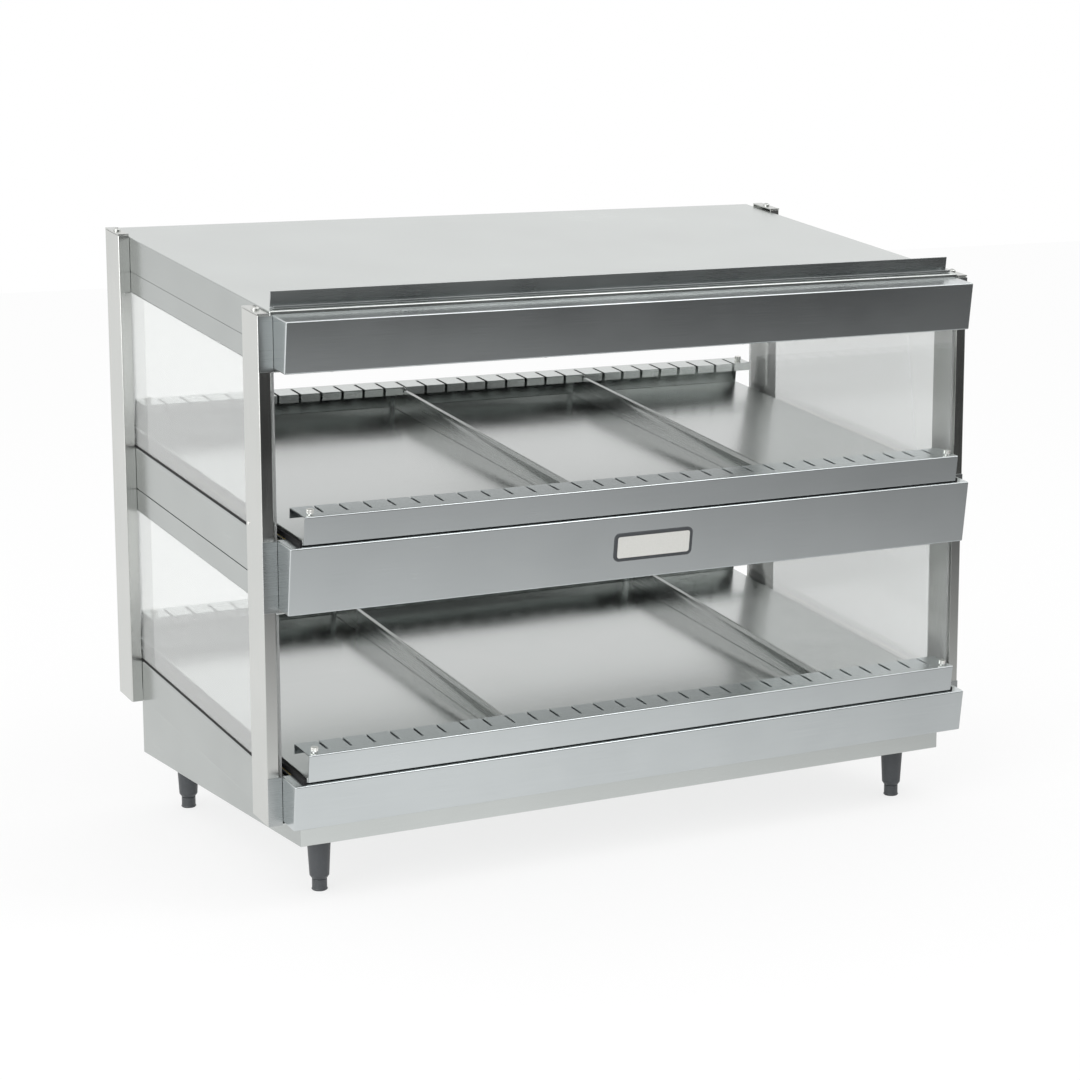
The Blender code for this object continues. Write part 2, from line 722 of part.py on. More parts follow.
def add_lamp(prefix, floor, metal, lamp_glass, frame):
    """A lamp tube between the sockets of a holder that stands on the tray's floor."""
    low = floor + GAP
    high = low + LAMP_HOLDER_HEIGHT
    reach = LAMP_HALF_LENGTH + LAMP_SOCKET
    outline = [
        (-reach, low),
        (-reach, high),
        (reach, high),
        (reach, low),
        (LAMP_HALF_LENGTH, low),
        (LAMP_HALF_LENGTH, high - SHEET),
        (-LAMP_HALF_LENGTH, high - SHEET),
        (-LAMP_HALF_LENGTH, low),
    ]
    front = LAMP_S - LAMP_HOLDER_DEPTH / 2
    rear = LAMP_S + LAMP_HOLDER_DEPTH / 2
    name = f"{prefix}_lamp_holder"
    prism(name, outline, lambda x, t: (x, front, t), lambda x, t: (x, rear, t), metal, frame)
    half = LAMP_HALF_LENGTH - GAP
    turned(
        f"{prefix}_lamp",
        [(0.0, -half), (LAMP_RADIUS, -half), (LAMP_RADIUS, half), (0.0, half)],
        lamp_glass,
        frame,
        at=(0.0, LAMP_S, (low + high - SHEET) / 2),
        turn=(0.0, math.pi / 2, 0.0),
    )


def add_canopy(steel, dark_steel, metal, lamp_glass, frame):
    """The canopy: top cover, fascia, sign holder and lamp tray."""
    front = upright(FRONT_POST_Y)
    rear = upright(REAR_Y)
    outer = slope_corners(SLAB_HALF_WIDTH, front, rear, CANOPY_BOTTOM, CANOPY_RISE)
    inner = slope_corners(
        SLAB_HALF_WIDTH - SHEET,
        moved(front, SHEET),
        moved(rear, -SHEET),
        CANOPY_BOTTOM,
        CANOPY_RISE - SHEET,
    )
    open_box("canopy_top", outer, inner, "under", steel, frame)
    floor = add_lamp_tray("canopy_light_tray", CANOPY_TRAY_TOP, CANOPY_TRAY_BOTTOM, steel, frame)
    add_lamp("canopy", floor, metal, lamp_glass, frame)
    add_fascia("canopy_fascia", CANOPY_FASCIA_HEIGHT, steel, frame)

    low = CANOPY_RISE + GAP
    back = SIGN_SETBACK + SIGN_DEPTH
    outline = [
        (SIGN_SETBACK, low),
        (back, low),
        (back, low + SIGN_HEIGHT),
        (back - SHEET, low + SIGN_HEIGHT),
        (back - SHEET, low + SHEET),
        (SIGN_SETBACK + SHEET, low + SHEET),
        (SIGN_SETBACK + SHEET, low + SIGN_LIP),
        (SIGN_SETBACK, low + SIGN_LIP),
    ]
    prism("sign_holder", outline, *along_x(SIGN_HALF_WIDTH), dark_steel, frame)


def add_heated_slab(prefix, fascia_height, divider_slots, finishes, frame):
    """One heated shelf with its rails, dividers and controls."""
    steel = finishes["steel"]
    add_pan(f"{prefix}_pan", steel, frame)
    add_fascia(f"{prefix}_fascia", fascia_height, steel, frame)
    front = square(DECK_FRONT_S)
    rear = square(DECK_REAR_S)
    deck = slope_corners(DECK_HALF_WIDTH, front, rear, DECK_UNDERSIDE, DECK_TOP)
    box(f"{prefix}_deck", deck, finishes["deck"], frame)

    start = square(INSULATION_START)
    end = square(INSULATION_END)
    heater_top = DECK_UNDERSIDE - GAP
    heater_low = heater_top - HEATER_THICKNESS
    heater = slope_corners(DECK_HALF_WIDTH - HEATER_MARGIN, start, end, heater_low, heater_top)
    box(f"{prefix}_heater", heater, finishes["foil"], frame)
    wool = slope_corners(CURB_HALF_WIDTH - SHEET - GAP, start, end, PAN_FLOOR + GAP, heater_low - GAP)
    box(f"{prefix}_insulation", wool, finishes["wool"], frame)

    add_front_rail(f"{prefix}_front_rail", steel, frame)
    add_rear_rail(f"{prefix}_rear_rail", steel, frame)
    for side, slot in zip(SIDES, divider_slots):
        add_divider(f"{prefix}_divider_{side}", slot, finishes["dark_steel"], frame)
    add_control_panel(prefix, steel, frame)
    add_thermostat(prefix, finishes["zinc"], finishes["black"], frame)


def add_skirt(steel, zinc, black):
    """The level-footed tray under the lower slab, with the terminal block and the cord's gland."""
    front = SKIRT_FRONT_Y
    low = level(SKIRT_BOTTOM_Z)
    high = sloping(BASE_EDGE_Z, PAN_BOTTOM - GAP)
    outer = world_corners(SKIRT_HALF_WIDTH, front, REAR_Y, low, high)
    inner = world_corners(
        SKIRT_HALF_WIDTH - SHEET, front + SHEET, REAR_Y - SHEET, level(SKIRT_BOTTOM_Z + SHEET), high
    )
    skirt = open_box("base_skirt", outer, inner, "top", steel)
    at = (GLAND_X, GLAND_Y, SKIRT_BOTTOM_Z)
    hole = disc("gland_hole", GLAND_HOLE_RADIUS, -OVERRUN, SHEET + OVERRUN, None, at=at)
    combine(skirt, hole, "DIFFERENCE")

    neck = GLAND_HOLE_RADIUS - GAP
    outline = [
        (GLAND_BORE_RADIUS, -GLAND_DROP),
        (neck, -GLAND_DROP),
        (GLAND_FLANGE_RADIUS, -GLAND_DROP / 2),
        (GLAND_FLANGE_RADIUS, -GAP),
        (neck, -GAP),
        (neck, GLAND_RISE),
        (GLAND_BORE_RADIUS, GLAND_RISE),
    ]
    turned("cord_gland", outline, black, ring=True, at=at)

    floor = SKIRT_BOTTOM_Z + SHEET + GAP
    terminal_y = GLAND_Y - GLAND_FLANGE_RADIUS - TERMINAL_DEPTH
    terminal = world_corners(
        TERMINAL_WIDTH / 2,
        terminal_y - TERMINAL_DEPTH / 2,
        terminal_y + TERMINAL_DEPTH / 2,
        level(floor),
        level(floor + TERMINAL_HEIGHT),
        GLAND_X,
    )
    box("terminal_block", terminal, zinc)


def add_leg(end, side, y, black):
    """A tapered leg under the skirt, with a threaded foot standing in its bore."""
    top = SKIRT_BOTTOM_Z - GAP
    bore_radius = STEM_RADIUS + GAP
    bore_top = LEG_END_Z + STEM_LENGTH + STEM_END_PLAY
    outline = [
        (0.0, bore_top),
        (bore_radius, bore_top),
        (bore_radius, LEG_END_Z),
        (LEG_END_RADIUS, LEG_END_Z),
        (LEG_LOW_RADIUS, LEG_END_Z + LEG_SHOULDER),
        (LEG_TOP_RADIUS, top),
        (0.0, top),
    ]
    at = (SIDES[side] * LEG_X, y, 0.0)
    turned(f"leg_{end}_{side}", outline, black, at=at)
    pad_top = LEG_END_Z - GAP
    outline = [
        (0.0, 0.0),
        (FOOT_RADIUS, 0.0),
        (FOOT_RIM_RADIUS, FOOT_CHAMFER),
        (FOOT_RIM_RADIUS, FOOT_RIM_HEIGHT),
        (FOOT_RADIUS, FOOT_RIM_HEIGHT + FOOT_CHAMFER),
        (FOOT_RADIUS, pad_top),
        (STEM_RADIUS, pad_top),
        (STEM_RADIUS, pad_top + STEM_LENGTH),
        (0.0, pad_top + STEM_LENGTH),
    ]
    turned(f"foot_{end}_{side}", outline, black, at=at)


def main():
    for leftover in list(bpy.data.objects):
        bpy.data.objects.remove(leftover, do_unlink=True)

    steel = finish("brushed stainless steel", (0.58, 0.60, 0.59), 0.32, 1.0)
    dark_steel = finish("shaded stainless steel", (0.30, 0.31, 0.31), 0.38, 1.0)
    finishes = {
        "steel": steel,
        "dark_steel": dark_steel,
        "deck": finish("satin anodised aluminium", (0.55, 0.57, 0.57), 0.25, 1.0),
        "foil": finish("heater foil", (0.80, 0.55, 0.20), 0.50),
        "wool": finish("glass wool board", (0.75, 0.68, 0.42), 0.95),
        "zinc": finish("zinc plated steel", (0.62, 0.64, 0.66), 0.45, 1.0),
        "black": finish("black moulded plastic", (0.07, 0.075, 0.08), 0.50),
        "glass": finish("clear acrylic", (0.92, 0.94, 0.94), 0.05, 0.0, 0.25),
        "lamp": finish("lamp glass", (0.95, 0.93, 0.86), 0.20),
    }

    canopy = frame_at("canopy_frame", CANOPY_EDGE_Z)
    shelf = frame_at("shelf_frame", SHELF_EDGE_Z)
    base = frame_at("base_frame", BASE_EDGE_Z)

    glass = finishes["glass"]
    for side in SIDES:
        add_post("front", side, FRONT_POST_Y, 0.0, steel)
        add_post("rear", side, REAR_POST_Y, REAR_POST_RISE, steel)
        upper_name = f"pane_upper_{side}"
        add_pane(upper_name, side, SHELF_EDGE_Z, CANOPY_EDGE_Z, CANOPY_TRAY_BOTTOM, glass, shelf)
        lower_name = f"pane_lower_{side}"
        add_pane(lower_name, side, BASE_EDGE_Z, SHELF_EDGE_Z, SHELF_TRAY_BOTTOM, glass, base)
        add_leg("front", side, FRONT_LEG_Y, finishes["black"])
        add_leg("rear", side, REAR_LEG_Y, finishes["black"])

    add_canopy(steel, dark_steel, finishes["zinc"], finishes["lamp"], canopy)
    add_heated_slab("shelf", SHELF_FASCIA_HEIGHT, SHELF_DIVIDER_SLOTS, finishes, shelf)
    floor = add_lamp_tray("shelf_light_tray", SHELF_TRAY_TOP, SHELF_TRAY_BOTTOM, steel, shelf)
    add_lamp("shelf", floor, finishes["zinc"], finishes["lamp"], shelf)
    add_switch("light_switch", finishes["black"], shelf)
    add_heated_slab("base", BASE_FASCIA_HEIGHT, BASE_DIVIDER_SLOTS, finishes, base)
    add_switch("power_switch", finishes["black"], base)
    add_skirt(steel, finishes["zinc"], finishes["black"])


main()
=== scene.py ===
# %% [markdown]
# # A heated shelf merchandiser in brushed steel
#
# The real object is a countertop cabinet for packed hot food. A brake press folds it from stainless sheet:
# four channel posts carry a sloping canopy and two sloping heated shelves, and clear panes close the sides.
#
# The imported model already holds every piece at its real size. This script gives each surface its finish,
# rounds the folds as a press leaves them, and adds the trim that is too small for the model.

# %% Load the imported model
import math

import bmesh
import bpy
from mathutils import Matrix, Vector


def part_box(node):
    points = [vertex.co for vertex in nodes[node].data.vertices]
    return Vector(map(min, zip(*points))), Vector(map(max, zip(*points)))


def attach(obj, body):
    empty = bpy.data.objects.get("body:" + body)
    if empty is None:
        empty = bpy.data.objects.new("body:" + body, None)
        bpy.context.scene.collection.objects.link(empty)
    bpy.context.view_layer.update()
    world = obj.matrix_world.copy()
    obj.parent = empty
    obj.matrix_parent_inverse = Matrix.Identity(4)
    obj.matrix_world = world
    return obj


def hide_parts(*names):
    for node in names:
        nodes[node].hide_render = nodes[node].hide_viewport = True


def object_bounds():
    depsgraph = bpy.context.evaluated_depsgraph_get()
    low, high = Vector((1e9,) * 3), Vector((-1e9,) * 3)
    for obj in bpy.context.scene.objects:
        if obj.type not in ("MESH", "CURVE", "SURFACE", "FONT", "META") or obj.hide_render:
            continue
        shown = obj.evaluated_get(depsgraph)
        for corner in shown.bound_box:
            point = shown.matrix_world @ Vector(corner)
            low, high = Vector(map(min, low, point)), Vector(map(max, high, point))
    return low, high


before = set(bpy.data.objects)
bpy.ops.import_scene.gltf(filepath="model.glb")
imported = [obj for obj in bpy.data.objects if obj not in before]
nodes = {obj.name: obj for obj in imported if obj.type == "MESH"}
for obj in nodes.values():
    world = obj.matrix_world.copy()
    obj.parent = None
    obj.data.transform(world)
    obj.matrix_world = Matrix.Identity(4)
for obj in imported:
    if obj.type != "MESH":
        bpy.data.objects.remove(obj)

cad_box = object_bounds()
print("pieces in the model:", len(nodes))
print("its box in metres:", [tuple(round(v, 4) for v in corner) for corner in cad_box])

# %% [markdown]
# ## Places on the slopes
#
# The canopy and the shelves all slope down to the front by the same angle. A piece of trim is easiest to
# place in a slope's own directions: x along the front, s back along the slope and t square to it. Each
# slope starts at the front top edge of its fascia, so that edge is read from the model.

# %% The three slopes
MM = 0.001
SLOPE = math.radians(7.5)
FRONT_Y = cad_box[0].y
CABINET = "cabinet"


def slope_frame(fascia):
    """The matrix of a slope: its origin on the fascia's front top edge, turned by the slope."""
    low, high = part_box(fascia)
    edge_z = high.z - (high.y - low.y) * math.tan(SLOPE)
    return Matrix.Translation((0, low.y, edge_z)) @ Matrix.Rotation(SLOPE, 4, "X")


CANOPY = slope_frame("canopy_fascia")
SHELF = slope_frame("shelf_fascia")
BASE = slope_frame("base_fascia")
SLABS = {"shelf": SHELF, "base": BASE}
for label, slope in (("canopy", CANOPY), ("shelf", SHELF), ("base", BASE)):
    print("front edge of the", label, "at z", round(slope.translation.z, 4))

# %% [markdown]
# ## The camera
#
# The photograph looks at the front and the left side from a little above. The camera's place and lens were
# found by matching the straight edges of the cabinet, so the numbers here are a real viewpoint, about three
# metres away. A rotation matrix is used because heading, tilt and roll are then each one plain turn.

# %% The photograph's viewpoint
CAMERA_PLACE = (-1.5698, -2.8031, 0.9100)
HEADING = math.radians(29.127)
TILT_DOWN = math.radians(10.331)
ROLL = math.radians(-0.199)
FRAME_PIXELS = 1080
FOCAL_PIXELS = 2735.2
SENSOR = 36.0

camera_data = bpy.data.cameras.new("photo_camera")
camera_data.sensor_width = SENSOR
camera_data.lens = FOCAL_PIXELS / FRAME_PIXELS * SENSOR
camera = bpy.data.objects.new("photo_camera", camera_data)
bpy.context.scene.collection.objects.link(camera)
heading = Matrix.Rotation(-HEADING, 4, "Z")
tilt = Matrix.Rotation(math.pi / 2 - TILT_DOWN, 4, "X")
roll = Matrix.Rotation(ROLL, 4, "Z")
camera.matrix_world = Matrix.Translation(CAMERA_PLACE) @ heading @ tilt @ roll
bpy.context.scene.camera = camera
print("lens in mm:", round(camera_data.lens, 2))

# %% [markdown]
# ## Colour and nodes
#
# Shader sockets take linear light, while a colour that is read off a screen is sRGB. One function turns the
# one into the other. Another adds a node, sets its values and joins its inputs, so that each material below
# reads as a short list of what feeds what.

# %% Helpers for every material
def linear(colour_hex):
    """An sRGB hex colour as linear RGBA."""
    shares = [int(colour_hex[place:place + 2], 16) / 255 for place in (1, 3, 5)]
    return [share / 12.92 if share <= 0.04045 else ((share + 0.055) / 1.055) ** 2.4 for share in shares] + [1]


def add(tree, kind, values=None, links=None):
    """A new node; values go to its properties or sockets, links name the node and output that feed one."""
    node = tree.nodes.new(kind)
    for name, value in (values or {}).items():
        if isinstance(name, int) or name in node.inputs:
            node.inputs[name].default_value = value
        else:
            setattr(node, name, value)
    for name, (source, output) in (links or {}).items():
        tree.links.new(source.outputs[output], node.inputs[name])
    return node


def empty_material(name):
    """A material with no nodes yet."""
    material = bpy.data.materials.new(name)
    material.use_nodes = True
    material.node_tree.nodes.clear()
    return material, material.node_tree


# %% [markdown]
# ## Brushed stainless steel
#
# Nearly everything is 304 stainless sheet with a belt-brushed finish: an abrasive belt leaves fine parallel
# scratches that stretch every reflection across them. The scratches are a noise texture that is squeezed
# across the grain and stretched along it. Real lines are about 0.1 mm wide, too fine to show from here, so
# they are drawn 0.4 mm wide. The sheet was brushed before it was folded, so on faces that look sideways the
# grain turns to run along the depth. Those faces also carry painted shade: their colour is scaled darker to
# stand for the dimmer light on the cabinet's sides. A Mapping node of the texture kind takes the size of one
# scratch.
#
# The decks are aluminium plate, which spreads the heat, with a satin anodised face: the same recipe with
# finer marks.
#
# Broad, faint clouds in the roughness are the hand prints and wipe marks that all such steel carries. Small
# fasteners are nickel plated: brighter, smoother and almost without a grain.

# %% Steel with a grain
GRAIN_WIDTH = 0.4 * MM
GRAIN_LENGTH = 60 * MM
SCRATCH_DEPTH = 0.1 * MM
SMUDGE_SIZE = 110 * MM
SMUDGE_SHARE = 0.55
SIDEWAYS_FROM = 0.7
DARK_TONE_AT, LIGHT_TONE_AT = 0.3, 0.7
POLISHED_BY, WORN_BY = 0.05, 0.06
AXES = {"x": 0, "y": 1, "z": 2}


def grain_size(axis):
    """The size of one scratch: long along one axis, thin along the others."""
    size = [GRAIN_WIDTH] * 3
    size[AXES[axis]] = GRAIN_LENGTH
    return size


# side is the painted shade on faces that look sideways: a factor on their colour, 1 for none.
def brushed_steel(name, light, dark, grain, side_grain, roughness, bump=0.12, tilt=SLOPE, side=1.0):
    """Brushed sheet: two close tones and a grain; faces that look sideways have their own grain and painted
    shade.
    """
    material, tree = empty_material(name)
    place = add(tree, "ShaderNodeTexCoord")
    facing = add(tree, "ShaderNodeSeparateXYZ", links={"Vector": (place, "Normal")})
    sideways = add(tree, "ShaderNodeMath", {"operation": "ABSOLUTE"}, {0: (facing, "X")})
    is_side = add(tree, "ShaderNodeMath", {"operation": "GREATER_THAN", 1: SIDEWAYS_FROM}, {0: (sideways, 0)})
    strokes = []
    for axis in (grain, side_grain):
        values = {"vector_type": "TEXTURE", "Rotation": (tilt, 0, 0), "Scale": grain_size(axis)}
        strokes.append(add(tree, "ShaderNodeMapping", values, {"Vector": (place, "Object")}))
    along = add(
        tree,
        "ShaderNodeMix",
        {"data_type": "VECTOR"},
        {0: (is_side, "Value"), 4: (strokes[0], "Vector"), 5: (strokes[1], "Vector")},
    )
    scratches = add(tree, "ShaderNodeTexNoise", {"Scale": 1.0, "Detail": 3.0}, {"Vector": (along, 1)})
    clouds = add(
        tree, "ShaderNodeTexNoise", {"Scale": 1 / SMUDGE_SIZE, "Detail": 2.0}, {"Vector": (place, "Object")}
    )
    relief = add(
        tree, "ShaderNodeBump", {"Strength": bump, "Distance": SCRATCH_DEPTH}, {"Height": (scratches, "Fac")}
    )
    mixed = add(
        tree,
        "ShaderNodeMix",
        {"data_type": "FLOAT", 0: SMUDGE_SHARE},
        {2: (scratches, "Fac"), 3: (clouds, "Fac")},
    )
    tone = add(tree, "ShaderNodeValToRGB", links={"Fac": (mixed, 0)})
    tone.color_ramp.elements[0].position = DARK_TONE_AT
    tone.color_ramp.elements[0].color = linear(dark)
    tone.color_ramp.elements[1].position = LIGHT_TONE_AT
    tone.color_ramp.elements[1].color = linear(light)
    spread = {"From Min": DARK_TONE_AT, "From Max": LIGHT_TONE_AT}
    spread.update({"To Min": roughness - POLISHED_BY, "To Max": roughness + WORN_BY})
    gloss = add(tree, "ShaderNodeMapRange", spread, {"Value": (mixed, 0)})
    # Painted shade: faces that look sideways have their colour scaled by side.
    darker = add(tree, "ShaderNodeMapRange", {"To Min": 1.0, "To Max": side}, {"Value": (is_side, 0)})
    turned = add(tree, "ShaderNodeVectorMath", {"operation": "SCALE"}, {0: (tone, 0), "Scale": (darker, 0)})
    shader = add(
        tree,
        "ShaderNodeBsdfPrincipled",
        {"Metallic": 1.0},
        {"Base Color": (turned, 0), "Roughness": (gloss, "Result"), "Normal": (relief, "Normal")},
    )
    add(tree, "ShaderNodeOutputMaterial", links={"Surface": (shader, "BSDF")})
    return material


# Painted shade: the sideways faces of the plain steel are scaled to 0.76 of its colour.
steel = brushed_steel("brushed stainless, grain across", "#DADEDC", "#CCD0CE", "x", "y", 0.22, side=0.76)
fascia_steel = brushed_steel("brushed stainless fascia", "#D7DCDD", "#C9CECF", "x", "y", 0.22)
upright_steel = brushed_steel("brushed stainless, grain upright", "#DADBD8", "#CDCFCC", "z", "z", 0.2, tilt=0)
divider_steel = brushed_steel("brushed stainless divider", "#D0D2D0", "#BFC1C0", "y", "y", 0.26)
# A darker copy of the same brushed stainless: painted shade, for the sign strip and the lap plates.
painted_shade_steel = brushed_steel("brushed stainless sign strip", "#C2C6C6", "#B2B6B6", "x", "y", 0.28)
deck_plate = brushed_steel("satin anodised aluminium plate", "#D6D8D7", "#C8CBCA", "x", "y", 0.20, bump=0.08)
bright_nickel = brushed_steel("bright nickel plating", "#F6F6F2", "#EDEDE9", "z", "z", 0.14, bump=0.03)
print("metals so far:", len(bpy.data.materials))

# %% [markdown]
# ## Zinc, foil and glass wool
#
# The pieces inside are never polished. Zinc-plated steel shows a faint patchwork of crystals, the heater mat
# is orange-brown film with printed tracks, and the insulation is a yellow board of glass wool fibres. The
# tracks are a Wave texture, which at a scale of 1 repeats every tenth of pi.

# %% Finishes inside the slabs
SPANGLE = 9 * MM
TRACK_PITCH = 8 * MM
WAVE_AT_SCALE_ONE = math.pi / 10
FIBRE = 1.5 * MM
FIBRE_RELIEF = 1 * MM


def zinc_plated():
    """Bright zinc with its crystal patches."""
    material, tree = empty_material("zinc plated steel")
    place = add(tree, "ShaderNodeTexCoord")
    crystals = add(tree, "ShaderNodeTexVoronoi", {"Scale": 1 / SPANGLE}, {"Vector": (place, "Object")})
    grey = add(tree, "ShaderNodeRGBToBW", links={"Color": (crystals, "Color")})
    tone = add(tree, "ShaderNodeValToRGB", links={"Fac": (grey, "Val")})
    tone.color_ramp.elements[0].color = linear("#A9AEB1")
    tone.color_ramp.elements[1].color = linear("#C4C8CA")
    gloss = add(tree, "ShaderNodeMapRange", {"To Min": 0.32, "To Max": 0.5}, {"Value": (grey, "Val")})
    shader = add(
        tree,
        "ShaderNodeBsdfPrincipled",
        {"Metallic": 1.0},
        {"Base Color": (tone, "Color"), "Roughness": (gloss, "Result")},
    )
    add(tree, "ShaderNodeOutputMaterial", links={"Surface": (shader, "BSDF")})
    return material


def heater_film():
    """Amber film with darker heating tracks that run along the shelf."""
    material, tree = empty_material("heater film")
    place = add(tree, "ShaderNodeTexCoord")
    tracks = add(
        tree,
        "ShaderNodeTexWave",
        {"Scale": WAVE_AT_SCALE_ONE / TRACK_PITCH, "bands_direction": "Y"},
        {"Vector": (place, "Object")},
    )
    tone = add(tree, "ShaderNodeValToRGB", links={"Fac": (tracks, "Fac")})
    tone.color_ramp.elements[0].color = linear("#B5752A")
    tone.color_ramp.elements[1].color = linear("#8A4E1E")
    shader = add(tree, "ShaderNodeBsdfPrincipled", {"Roughness": 0.35}, {"Base Color": (tone, "Color")})
    add(tree, "ShaderNodeOutputMaterial", links={"Surface": (shader, "BSDF")})
    return material


def glass_wool():
    """Matted yellow fibres."""
    material, tree = empty_material("glass wool board")
    place = add(tree, "ShaderNodeTexCoord")
    fibres = add(
        tree, "ShaderNodeTexNoise", {"Scale": 1 / FIBRE, "Detail": 4.0}, {"Vector": (place, "Object")}
    )
    tone = add(tree, "ShaderNodeValToRGB", links={"Fac": (fibres, "Fac")})
    tone.color_ramp.elements[0].color = linear("#B79C4E")
    tone.color_ramp.elements[1].color = linear("#E3D08B")
    relief = add(
        tree, "ShaderNodeBump", {"Strength": 0.8, "Distance": FIBRE_RELIEF}, {"Height": (fibres, "Fac")}
    )
    shader = add(
        tree,
        "ShaderNodeBsdfPrincipled",
        {"Roughness": 0.95},
        {"Base Color": (tone, "Color"), "Normal": (relief, "Normal")},
    )
    add(tree, "ShaderNodeOutputMaterial", links={"Surface": (shader, "BSDF")})
    return material


zinc = zinc_plated()
film = heater_film()
wool = glass_wool()

# %% [markdown]
# ## Moulded nylon and rubber
#
# Legs, knobs, switches and the cord's gland are glass-filled nylon from a mould that was spark-eroded, which
# leaves a fine pebbled skin. It is dark grey, not black, once light grazes it. Rubber seals are blacker and
# duller. Both are the same recipe with other numbers, so one function makes them.

# %% Dark moulded surfaces
DARK_SKIN_AT, LIGHT_SKIN_AT = 0.3, 0.75
GLOSS_SPREAD = 0.08


def moulded(name, light, dark, roughness, pebble, depth):
    """A moulded surface: pebbled skin with slightly worn, paler tops."""
    material, tree = empty_material(name)
    place = add(tree, "ShaderNodeTexCoord")
    skin = add(
        tree, "ShaderNodeTexNoise", {"Scale": 1 / pebble, "Detail": 2.0}, {"Vector": (place, "Object")}
    )
    tone = add(tree, "ShaderNodeValToRGB", links={"Fac": (skin, "Fac")})
    tone.color_ramp.elements[0].position = DARK_SKIN_AT
    tone.color_ramp.elements[0].color = linear(dark)
    tone.color_ramp.elements[1].position = LIGHT_SKIN_AT
    tone.color_ramp.elements[1].color = linear(light)
    gloss = add(
        tree,
        "ShaderNodeMapRange",
        {"To Min": roughness - GLOSS_SPREAD, "To Max": roughness + GLOSS_SPREAD},
        {"Value": (skin, "Fac")},
    )
    relief = add(tree, "ShaderNodeBump", {"Strength": 0.5, "Distance": depth}, {"Height": (skin, "Fac")})
    shader = add(
        tree,
        "ShaderNodeBsdfPrincipled",
        {"IOR": 1.52},
        {"Base Color": (tone, "Color"), "Roughness": (gloss, "Result"), "Normal": (relief, "Normal")},
    )
    add(tree, "ShaderNodeOutputMaterial", links={"Surface": (shader, "BSDF")})
    return material


nylon = moulded("dark grey moulded nylon", "#54575A", "#434649", 0.42, 0.8 * MM, 0.05 * MM)
rubber = moulded("black rubber seal", "#1D1D1E", "#121213", 0.7, 1.2 * MM, 0.08 * MM)
ivory = moulded("white printed mark", "#F2F2EE", "#E2E2DC", 0.5, 0.6 * MM, 0.01 * MM)

# %% [markdown]
# ## Clear panes and lamp glass
#
# The side panes are cast acrylic. Wiped every day, they carry a faint milky haze, and in the photograph
# everything behind them looks paler. The haze is the small share of light that doesn't pass straight
# through. The lamps are frosted tubes, white when they are off.

# %% Acrylic and frosted glass
WIPE_MARK = 60 * MM
FROST_GRAIN = 0.6 * MM


def clear_acrylic():
    """Clear sheet with a light, uneven haze of wipe marks."""
    material, tree = empty_material("clear cast acrylic")
    place = add(tree, "ShaderNodeTexCoord")
    marks = add(
        tree, "ShaderNodeTexNoise", {"Scale": 1 / WIPE_MARK, "Detail": 4.0}, {"Vector": (place, "Object")}
    )
    gloss = add(tree, "ShaderNodeMapRange", {"To Min": 0.0, "To Max": 0.04}, {"Value": (marks, "Fac")})
    shader = add(
        tree,
        "ShaderNodeBsdfPrincipled",
        {"Base Color": linear("#FAFCFB"), "IOR": 1.49, "Transmission Weight": 0.74},
        {"Roughness": (gloss, "Result")},
    )
    add(tree, "ShaderNodeOutputMaterial", links={"Surface": (shader, "BSDF")})
    return material


def frosted_glass():
    """A frosted tube in two close warm whites, mottled by a fine noise."""
    material, tree = empty_material("frosted lamp glass")
    place = add(tree, "ShaderNodeTexCoord")
    frost = add(tree, "ShaderNodeTexNoise", {"Scale": 1 / FROST_GRAIN}, {"Vector": (place, "Object")})
    tone = add(tree, "ShaderNodeValToRGB", links={"Fac": (frost, "Fac")})
    tone.color_ramp.elements[0].color = linear("#E9E6DA")
    tone.color_ramp.elements[1].color = linear("#F6F4EC")
    shader = add(
        tree,
        "ShaderNodeBsdfPrincipled",
        {"Roughness": 0.35, "IOR": 1.5, "Transmission Weight": 0.15},
        {"Base Color": (tone, "Color")},
    )
    add(tree, "ShaderNodeOutputMaterial", links={"Surface": (shader, "BSDF")})
    return material


acrylic = clear_acrylic()
lamp_glass = frosted_glass()
print("materials so far:", len(bpy.data.materials))

# %% [markdown]
# ## Making pieces
#
# Every new piece is built in a bmesh and stored with its place in its mesh. One function turns the bmesh
# into an object, gives it its material, lets it ride on the body that carries it, and hides the model's
# node that it stands for, if it stands for one. Flat faces beside small rounds would shade like pillows, so
# a Weighted Normal modifier lets the largest face decide at each corner.

# %% From bmesh to piece
WELD = 0.001 * MM
SMOOTH_BELOW = math.radians(35)


def even_shading(made):
    """Smooth shading that keeps large faces flat."""
    made.data.shade_smooth()
    made.data.set_sharp_from_angle(angle=SMOOTH_BELOW)
    made.modifiers.new("flat faces", "WEIGHTED_NORMAL").keep_sharp = True


def piece(name, bm, material, body=CABINET, stands_for=()):
    """A finished piece from a bmesh."""
    bmesh.ops.remove_doubles(bm, verts=bm.verts, dist=WELD)
    bmesh.ops.recalc_face_normals(bm, faces=bm.faces)
    mesh = bpy.data.meshes.new(name)
    bm.to_mesh(mesh)
    bm.free()
    mesh.materials.append(material)
    made = bpy.data.objects.new(name, mesh)
    bpy.context.scene.collection.objects.link(made)
    even_shading(made)
    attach(made, body)
    if stands_for:
        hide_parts(*stands_for)
    return made


# %% [markdown]
# ## Folds with a radius
#
# A press brake can't fold a dead sharp corner: 1.2 mm sheet bends round a radius of about its own
# thickness, and cut edges are deburred. Those tiny rounds catch the white of the room, which is why every
# fold on the cabinet shows as a bright line. The solids of the model have sharp edges, so each one is
# copied, its loose triangles are welded back into flat faces, and a Bevel modifier rounds the edges. Edge
# weights make the folds wide and the cut edges narrow in one pass.

